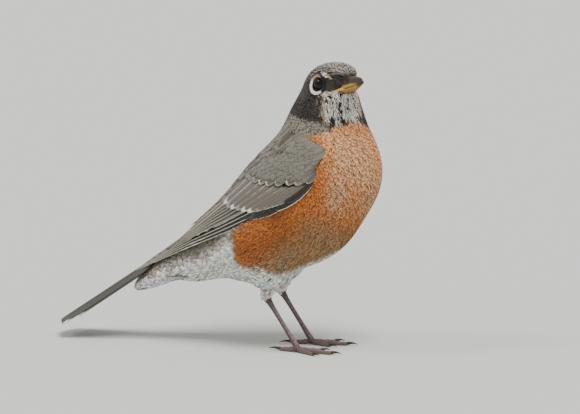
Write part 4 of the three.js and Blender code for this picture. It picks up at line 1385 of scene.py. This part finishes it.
def billPart(x0, x1, upper):
    # rings along the head's forward axis: y = half cos a, z from the lip to the far edge by sin(a)^0.9
    shape, t = billShape, billTones
    rows, count = 64, 40
    k = np.linspace(0, 1, rows)
    x = mix(x0, x1, 1 - (1 - k) ** 1.5)
    a = np.linspace(0, np.pi, count // 2 + 1)
    half = curve(shape["half"], x) * (1 if upper else 0.86)
    lip = curve(shape["cutting"], x) + (-0.08 if upper else -0.14)
    far = curve(shape["culmen"], x) if upper else np.minimum(curve(shape["gonys"], x), lip - 0.25)
    lift = np.sin(a)[None] ** 0.9
    y = half[:, None] * np.cos(a)
    z = mix(lip[:, None], far[:, None], lift)
    if upper:
        # the sides are drawn in at the nostrils
        y = y * (1 - 0.14 * np.exp(-(((x[:, None] - 19.6) / 2.1) ** 2) - (((lift - 0.55) / 0.2) ** 2)))
    inner = np.linspace(-0.94, 0.94, count // 2 - 1)
    y = np.concatenate([y, half[:, None] * inner], 1)
    arch = (0.5 if upper else -0.5) * (1 - inner**2) * np.minimum(half, 1.6)[:, None]
    z = np.concatenate([z, lip[:, None] + arch], 1)
    points, faces = closedTube(inHead(np.broadcast_to(x[:, None], y.shape), y, z))
    x, y, z = headward(points).T
    colour = np.broadcast_to(t["yellow"], (len(points), 3))
    if upper:
        yellowTop = curve([[6, -4.6], [13, -4.3], [19, -3.8], [25, -3.5], [28, -3.9], [30, -4.7]], x)
        mottle = 0.35 * (speckle(x * 0.35, z * 0.3, 4) - 0.5)
        colour = mix(colour, t["dusk"], (0.97 * ramp(z - yellowTop + mottle, -0.3, 0.5))[:, None])
        near = np.hypot((x - 19.8) / 1.5, (z + 1.3 + 0.06 * (x - 19.8)) / 0.42)
        colour = mix(colour, t["nostril"], (ramp(1.25 - near, 0, 0.5) * (np.abs(y) > 1))[:, None])
    else:
        # lower mandible deeper ochre, partly its own colour and partly painted shade, most towards its
        # underside
        colour = mix(colour, t["deep"], (0.55 + 0.45 * ramp(-z, 5.0, 7.0))[:, None])
        spots = ramp(speckle(x * 1.3, z * 1.6, 8), 0.62, 0.8) * ramp(21 - x, 0, 8)
        colour = mix(colour, t["dusk"], (0.6 * spots)[:, None])
        colour = mix(colour, t["dusk"], (0.9 * ramp(x, 27, 30.5))[:, None])
    return points, facingOut(points, faces), opaque(colour)


def strand(start, end, bend, thick, colour):
    # thin tapering thread from start to end, bowed by bend
    k = np.linspace(0, 1, 7)[:, None]
    path = mix(start, end, k) + bend * k * (1 - k) * 4
    size = thick * (1.05 - k[:, 0])
    points, faces = closedTube(tubeAlong(path, size, size, 5, (0.3, 0.5, 1)))
    return points, faces, evenColour(colour, points)


def frontAt(x, y, z):
    # place on the head's surface outward from its long axis, given in the head's frame
    a = inHead(x, 0.25 * y, z)
    d = unit(inHead(x, y, z) - inHead(x, 0, z))
    return a + d * reach(a, d, bodyField, 20)[..., None]


def headMap(points, axes, start):
    # baking map of a piece on the head: a straight view along one of the head's axes
    return {"OFBake": headward(points)[:, axes] * 0.02 + start}


def makeBill():
    # the two mandibles and the fleshy gape at the corners of the mouth
    material = paintedMaterial("billHorn", 0.32, 0.5, 0.25, 900, 0.1, 0.1)
    for name, node, end, upper in (("billUpper", "bill_upper", 34.1, True),
                                   ("billLower", "bill_lower", 32.6, False)):
        points, faces, colour = billPart(6.5, end, upper)
        makePiece(name, points, faces, (node,), material, headMap(points, [0, 1], 0.3),
                  {"tint": colour})
    parts, count = [], gape["rows"]
    for side in (-1, 1):
        k = np.linspace(0, 1, count)
        x, y = mix(gape["from"], gape["to"], k), np.full(count, side * gape["out"])
        path = frontAt(x, y, mix(*gape["z"], k))
        size = mix(*gape["size"], smooth(1.25 * k))
        points, faces = closedTube(tubeAlong(path, size * 0.6, size, 10))
        parts.append((points, faces, evenColour(billTones["gape"], points)))
    points, faces, colour = joinParts(parts)
    makePiece("gape", points, faces, ("bill_lower",), material, headMap(points, [0, 2], 0.3),
              {"tint": colour})


def makeBristles():
    # stiff dark hairs from the lores and the corners of the mouth, slanting forward
    random = np.random.default_rng(8)
    parts = []
    for side in (-1, 1):
        for _ in range(bristles["count"]):
            x, z = random.uniform(*bristles["x"]), random.uniform(*bristles["z"])
            root = frontAt(np.array([x]), np.array([side * bristles["out"]]), np.array([z]))[0]
            out = headFrame @ np.array([1, side * random.uniform(0.15, 0.6), random.uniform(-0.5, 0.15)])
            parts.append(strand(root, root + out * random.uniform(*bristles["length"]), headFrame[:, 2] * 0.4,
                                bristles["thick"], billTones["bristle"]))
    points, faces, colour = joinParts(parts)
    makePiece("bristles", points, faces, ("head",), paintedMaterial("bristleHorn", 0.5),
              headMap(points, [0, 1], 0.7), {"tint": colour})


def makeChin():
    # narrow vanes between the branches of the lower mandible, lying back over its base
    random = np.random.default_rng(15)
    n, tones = chin["count"], plumageTones
    x, y = random.uniform(chin["from"], chin["to"], n), random.uniform(-1, 1, n)
    half = curve(billShape["half"], x) * 0.86
    y = y * half * (0.35 + 0.62 * ramp(21.8 - x, 0, 9))
    lip, far = curve(billShape["cutting"], x), curve(billShape["gonys"], x)
    z = lip - 0.14 - (lip - far) * (1 - np.clip(np.abs(y) / half, 0, 1) ** 2.4) ** 0.5
    root = inHead(x, y, z - 0.1)
    s, w, below, _ = fineVane
    out = np.stack([np.full(n, -0.8), 0.1 * y, -0.42 - 0.3 * random.uniform(0, 1, n)], -1)
    down = np.stack([np.zeros(n), 0.12 * y, -np.ones(n)], -1)
    out, down = unit(out) @ headFrame.T, unit(down) @ headFrame.T
    side = unit(np.cross(out, down))
    up = np.cross(side, out)
    length = random.uniform(*chin["length"], n)[:, None]
    points = (root[:, None] + out[:, None] * (length * s)[..., None]
              + side[:, None] * (chin["half"] * vaneOutline(s) * w)[..., None]
              + up[:, None] * (0.5 * s * (1 - s) + 0.04 * below)[..., None])
    dark = random.uniform(0, 1, n) < chin["dark"]
    white = tones["throatWhite"] * random.normal(0.95, 0.05, (n, 1))
    tint = np.where(dark[:, None], tones["hoodBlack"], white)
    spot = np.stack([np.full(n, 0.75), 0.012 + 0.001 * x], -1)
    sets = [featherSet(fineVane, points, tint, 1, tint, 0, spot)]
    joinSets("chinFeathers", sets, ("head",), coatMaterials["head_feathers"])


makeBill()
makeBristles()
makeChin()
print("bill made")


eyeTones = {"iris": tone("1d120d"), "rim": tone("0b0807"), "pupil": tone("020202"), "lid": tone("1a1613"),
            "lidPale": tone("cfc4b6")}
# mm from the axis where each ring of vanes starts, their length, how many, and how far they show the marks
eyeRings = ((4.1, 1.2, 60, 1.0), (4.7, 1.3, 62, 0.8), (5.5, 1.5, 60, 0.0))
# mm of opening and thickness of each roll of the lids, its rise off the ball, and how deep it is folded
lidRolls = ((4.1, 0.34, 0.08, 0.12), (4.6, 0.3, -0.1, 0))


def eyeMaterial():
    # wet and dark; pupil, iris and rim are the vertices' colours
    material, nodes, links, shader = nodeMaterial("eyeGlass", 0.07)
    links.new(attribute(nodes, "tint").outputs["Color"], shader.inputs["Base Color"])
    return material


def makeEyeRing(name, centre, axis, front, up):
    # short vanes rayed out from the lids, laid on the skin by lines parallel to the axis of sight
    random = np.random.default_rng(71)
    s, w, below, _ = fineVane
    tones, sets = plumageTones, []
    for start, long, count, shown in eyeRings:
        turn = (np.arange(count) + random.normal(0, 0.15, count)) * 2 * np.pi / count
        ray = start + random.normal(0, 0.06, (count, 1)) + long * s
        bearing = turn[:, None] + 0.3 * vaneOutline(s) * w / start
        spoke = front * np.cos(bearing)[..., None] + up * np.sin(bearing)[..., None]
        origin = centre + spoke * ray[..., None]
        out = reach(origin, np.broadcast_to(axis, origin.shape), bodyField, 25)
        ball = np.sqrt(np.maximum(eye["radius"] ** 2 - ray**2, 0)) + 0.15 * (ray < eye["radius"])
        height = mix(0.1, 0.3, s) + 0.03 * below - 0.12 * (start - eyeRings[0][0])
        points = origin + axis * (np.maximum(out, ball) + height)[..., None]
        a = turn / deg % 360
        white = ramp(a, 128, 150) * ramp(305 - a, 0, 14) * (shown > 0)
        buff = ramp(a, 40, 60) * ramp(150 - a, 0, 20) * shown**2
        tint = mix(tones["hoodBlack"], tones["eyeWhite"], white[:, None])
        tint = mix(tint, tones["buff"], buff[:, None] * 0.8) * random.normal(1, 0.05, count)[:, None]
        spotRow = 0.1 if name == "left" else 0.14
        spot = np.stack([0.5 + 0.01 * np.cos(turn), spotRow + 0.01 * np.sin(turn)], -1)
        sets.append(featherSet(fineVane, points, tint, 1, tint, 0, spot))
    joinSets("eyeRing" + name.title(), sets, ("head",), coatMaterials["head_feathers"])


def sightMap(points, centre, front, up):
    # baking map seen along the axis of sight
    return {"OFBake": np.stack([(points - centre) @ front, (points - centre) @ up], -1) * 0.05 + 0.5}


def makeEyeBall(name, centre, axis, front, up, material):
    # sphere about the axis of sight, its front raised by the cornea
    angle, turn = np.linspace(0.004, np.pi - 0.004, 48), roundAngles(56)
    bulge = eye["radius"] + 0.25 * np.exp(-((angle / 0.6) ** 2))
    points, faces = closedTube(centre + axis * (bulge * np.cos(angle))[:, None, None]
                               + (front * np.cos(turn)[:, None] + up * np.sin(turn)[:, None])
                               * (eye["radius"] * np.sin(angle))[:, None, None])
    off = np.arccos(np.clip(unit(points - centre) @ axis, -1, 1)) / deg
    colour = mix(eyeTones["pupil"], eyeTones["iris"], ramp(off, 22, 27)[:, None])
    colour = mix(colour, eyeTones["rim"], ramp(off, 42, 48)[:, None])
    makePiece("eye" + name.title(), points, facingOut(points, faces), (f"eye_{name}",), material,
              sightMap(points, centre, front, up), {"tint": opaque(colour)})


def makeLids(name, centre, axis, front, up, material):
    # closed rolls round the opening: the first lies on the ball, the second is an outer fold behind it
    turn, count, parts = roundAngles(96), 12, []
    faces = gridFaces(len(turn), count, True)
    j, last = np.arange(count), (len(turn) - 1) * count
    seam = np.stack([j + last, j, (j + 1) % count, (j + 1) % count + last], -1)
    tint = mix(eyeTones["lid"], eyeTones["lidPale"], 0.1)
    for opening, size, rise, fold in lidRolls:
        wide = opening * (1 + 0.03 * np.cos(2 * turn)) + 0.12 * np.cos(turn) ** 8
        depth = np.sqrt(np.maximum(eye["radius"] ** 2 - wide**2, 0)) + rise
        path = (centre + front * (wide * np.cos(turn))[:, None] + up * (wide * 0.96 * np.sin(turn))[:, None]
                + axis * depth[:, None])
        along = unit(np.roll(path, -1, 0) - np.roll(path, 1, 0))
        outSide = unit(np.cross(along, axis))
        size = size * (1 + fold * np.sin(turn * 24))
        tube = rings(path, outSide, np.cross(along, outSide), size, size * 0.8, count).reshape(-1, 3)
        parts.append((tube, np.concatenate([faces, seam]), evenColour(tint, tube)))
    points, faces, colour = joinParts(parts)
    makePiece("lids" + name.title(), points, faces, ("head",), material,
              sightMap(points, centre, front, up), {"tint": colour})


def makeEyes():
    # ball, ring of vanes and lids, each about its own axis of sight
    glass = eyeMaterial()
    lidSkin = paintedMaterial("lidSkin", 0.45, 0.4, 0.1, 2500, 0.2, 0.3)
    for name, (centre, axis) in eyeAxes.items():
        up = unit(headFrame[:, 2] - axis * (headFrame[:, 2] @ axis))
        front = np.cross(up, axis)
        front = front * np.sign(front @ headFrame[:, 0])
        makeEyeBall(name, centre, axis, front, up, glass)
        makeEyeRing(name, centre, axis, front, up)
        makeLids(name, centre, axis, front, up, lidSkin)


makeEyes()
print("eyes made")


legTones = {"skin": tone("4d3a37"), "front": tone("8a747c"), "dark": tone("2c211f"), "sole": tone("6b5448"),
            "claw": tone("2a2321"), "clawTip": tone("14100f")}
# degrees out from ahead, mm of toe, mm of claw, half width
toes = {"inner": (30, 14.5, 5.2, 1.45), "middle": (2, 22, 6, 1.6), "outer": (-27, 15.5, 5.2, 1.45),
        "hallux": (178, 11, 7.5, 1.6)}
feetYaw = {"right": -6, "left": 8}
shankSize = [[0, 1.9], [0.06, 2.1], [0.14, 1.6], [0.3, 1.3], [0.6, 1.25], [0.85, 1.45], [1, 1.7]]
hub = {"radii": (2.3, 2.2, 2.05), "rise": -0.9}     # the ball where the toes meet
legPlates = {"shank": 3.4, "toe": 1.5}              # mm from plate to plate
ringCount, clawCount = 20, 14


def grooves(along, step, width):
    # 1 at each joint between plates, eased to 0 over so wide a share of a plate
    return smooth((np.abs((along / step) % 1 - 0.5) * 2 - 1 + width) / width)


def plated(sections, along, step, depth, over):
    # plates across a limb: the radius dips at each joint, over the given share of the turn
    centre = sections.mean(1, keepdims=True)
    dip = (grooves(along, step, 0.28) * depth)[:, None] * over[None]
    return centre + (sections - centre) * (1 - dip)[..., None]


def tubeColours(tint, ends):
    # colours of a closed tube: those of its rings, then those of the middles of its ends
    return opaque(np.concatenate([tint.reshape(-1, 3), np.broadcast_to(ends, (2, 3))]))


def flatMap(points):
    # baking map seen from above
    return {"OFBake": points[:, :2] * 0.01 + 0.5}


def makeShank(name, material):
    # tapering oval tube from ankle to toes, with plates down its front
    t, angle = legTones, roundAngles(ringCount)
    top, foot = ankles[name], feet[name]
    k = np.linspace(-0.05, 1, 110)
    size, length = curve(shankSize, np.clip(k, 0, 1)), np.linalg.norm(foot - top)
    along = unit(foot - top)
    front = unit(np.array([1.0, 0, 0]) - along * along[0])
    sections = rings(mix(top, foot, k[:, None]), np.cross(along, front), front, size * 0.86, size * 1.1,
                     ringCount)
    facing = ramp(np.sin(angle), -0.3, 0.5)
    points, faces = closedTube(plated(sections, k * length, legPlates["shank"], 0.1, facing))
    lit = 0.55 * facing[None] * ramp(k, 0.05, 0.3)[:, None]
    dark = 0.7 * grooves(k * length, legPlates["shank"], 0.25)[:, None] * facing[None]
    tint = mix(mix(t["skin"], t["front"], lit[..., None]), t["dark"], dark[..., None])
    uv = np.stack([np.tile(angle / 7, len(k)), np.repeat(k, ringCount)], -1) * 0.3 + 0.05
    makePiece("shank" + name.title(), points, facingOut(points, faces), (f"leg_{name}_tarsus",),
              material, {"OFBake": np.concatenate([uv, uv[:2]])}, {"tint": tubeColours(tint, t["skin"])})


def grounded(sections):
    # closed tube, flattened where it would go into the ground
    points, faces = closedTube(sections)
    points[:, 2] = np.maximum(points[:, 2], 0)
    return points, faces


def toePart(under, out, across, long, halfWide):
    # tube along the ground, bulging at its pads, with plates on top
    t, k = legTones, np.linspace(0, 1, 70)
    size = halfWide * (1 - 0.22 * k)
    path = under + out * (long * k)[:, None]
    path[:, 2] += 0.8 * size + 0.9 * (1 - k) ** 2
    size = size * (1 + 0.09 * np.cos(k * 6 * np.pi)) * (1 - 0.6 * ramp(k, 0.93, 1.0))
    above = ramp(np.sin(roundAngles(ringCount)), -0.1, 0.4)
    sections = rings(path, across, np.array([0, 0, 1.0]), size * 0.9, size, ringCount)
    points, faces = grounded(plated(sections, k * long, legPlates["toe"], 0.12, above))
    tint = mix(t["sole"], mix(t["skin"], t["front"], 0.25), above[None, :, None] * np.ones((len(k), 1, 1)))
    dark = 0.7 * grooves(k * long, legPlates["toe"], 0.28)[:, None] * above[None]
    return points, faces, tubeColours(mix(tint, t["dark"], dark[..., None]), t["skin"])


def makeClaw(name, toe, start, out, across, long, material):
    # horn tapering to a point, arched by a sine and drawn down
    c = np.linspace(-0.12, 1, 24)
    shown = np.clip(c, 0, 1)
    path = start + out * (long * c)[:, None]
    path[:, 2] += 0.9 * np.sin(0.8 * np.pi * shown) - 1.1 * shown
    wide, high = np.maximum(0.85 - 0.72 * c, 0.08) * 0.8, np.maximum(1 - 0.88 * c, 0.1)
    points, faces = grounded(rings(path, across, np.array([0, 0, 1.0]), wide, high, clawCount))
    tint = mix(legTones["claw"], legTones["clawTip"], np.repeat(shown, clawCount)[:, None])
    makePiece(f"claw{name.title()}{toe.title()}", points, facingOut(points, faces), (f"claw_{name}_{toe}",),
              material, flatMap(points), {"tint": tubeColours(tint, tint[:2])})


def makeFoot(name, skin, horn):
    # ball of the foot with four toes, and a claw at the end of each
    foot, angle = feet[name], roundAngles(ringCount)
    polar = np.linspace(0.02, np.pi - 0.02, 18)[:, None]
    ball = np.stack([np.cos(polar) * np.ones(ringCount), np.sin(polar) * np.cos(angle),
                     np.sin(polar) * np.sin(angle)], -1)
    points, faces = grounded(foot + np.array([0, 0, hub["rise"]]) + ball * hub["radii"])
    parts = [(points, faces, evenColour(legTones["skin"], points))]
    under = np.array([foot[0], foot[1], 0])
    for toe, (turnBy, long, claw, halfWide) in toes.items():
        yaw = (feetYaw[name] + (turnBy if name == "right" else -turnBy)) * deg
        out, across = np.array([np.cos(yaw), np.sin(yaw), 0]), np.array([-np.sin(yaw), np.cos(yaw), 0])
        parts.append(toePart(under, out, across, long, halfWide))
        start = under + out * (long + 0.1) + np.array([0, 0, 1.4])
        makeClaw(name, toe, start, out, across, claw, horn)
    points, faces, colour = joinParts(parts)
    makePiece("foot" + name.title(), points, faces, (f"foot_{name}",), skin, flatMap(points),
              {"tint": colour})


def makeLegs():
    skin = paintedMaterial("legScales", 0.45, 0.45, 0.05, 1100, 0.2, 0.35)
    horn = paintedMaterial("clawHorn", 0.35, 0.5, 0.1, 900, 0.12, 0.1)
    for name in ("right", "left"):
        makeShank(name, skin)
        makeFoot(name, skin, horn)


makeLegs()
print("legs made")


stage = {
    "floorHalf": 6.0, "floor": "c9ccc4", "sky": (0.97, 0.98, 1.0, 1), "skyPower": 0.7,
    # name, degrees across, power and the way it shines
    "lamps": (("key", 28, 3.4, (-0.3, 0.3, -1)), ("catch", 12, 0.6, (0.66, 0.42, -0.95))),
}


def makeStage():
    # wide pale floor, even sky, a broad sun and a small one that catches the eye
    mesh = bpy.data.meshes.new("floor")
    half = stage["floorHalf"]
    corners = [(-half, -half, 0), (half, -half, 0), (half, half, 0), (-half, half, 0)]
    mesh.from_pydata(corners, [], [(0, 1, 2, 3)])
    floor = bpy.data.objects.new("floor", mesh)
    bpy.context.scene.collection.objects.link(floor)
    material, _, _, shader = nodeMaterial("paleFloor", 0.9, 0.1)
    shader.inputs["Base Color"].default_value = (*tone(stage["floor"]), 1)
    mesh.materials.append(material)
    world = bpy.data.worlds.new("softSky")
    world.use_nodes = True
    sky = world.node_tree.nodes["Background"]
    sky.inputs["Color"].default_value = stage["sky"]
    sky.inputs["Strength"].default_value = stage["skyPower"]
    bpy.context.scene.world = world
    for lampName, spread, power, direction in stage["lamps"]:
        light = bpy.data.lights.new(lampName, "SUN")
        light.angle = spread * deg
        light.energy = power
        lamp = bpy.data.objects.new(lampName, light)
        lamp.rotation_euler = Vector(direction).to_track_quat("-Z", "Y").to_euler()
        bpy.context.scene.collection.objects.link(lamp)


# degrees round and above, frame pixels a mm, where the origin falls in the frame, its size, metres away
view = {"around": 18, "above": 10, "scale": 1.72, "origin": (300, 348), "frame": (580, 414), "far": 5.0}


def makeCamera():
    # the frame's middle, in mm right of and above the design origin, as seen from the view's direction
    a, e = view["around"] * deg, view["above"] * deg
    right = np.array([np.cos(a), np.sin(a), 0])
    up = np.array([-np.sin(e) * np.sin(a), np.sin(e) * np.cos(a), np.cos(e)])
    back = np.array([np.sin(a) * np.cos(e), -np.cos(a) * np.cos(e), np.sin(e)])
    wide, high = view["frame"]
    x = (wide / 2 - view["origin"][0]) / view["scale"]
    y = (view["origin"][1] - high / 2) / view["scale"]
    target = (right * x + up * y + shift) * 0.001
    camera = bpy.data.objects.new("camera", bpy.data.cameras.new("camera"))
    camera.data.sensor_width = 36
    camera.data.lens = 36 * view["far"] / (wide / view["scale"] * 0.001)
    camera.data.clip_end = 60
    camera.location = target + back * view["far"]
    camera.rotation_euler = Vector(-back).to_track_quat("-Z", "Y").to_euler()
    bpy.context.scene.collection.objects.link(camera)
    bpy.context.scene.camera = camera


makeStage()
makeCamera()
bpy.context.view_layer.update()
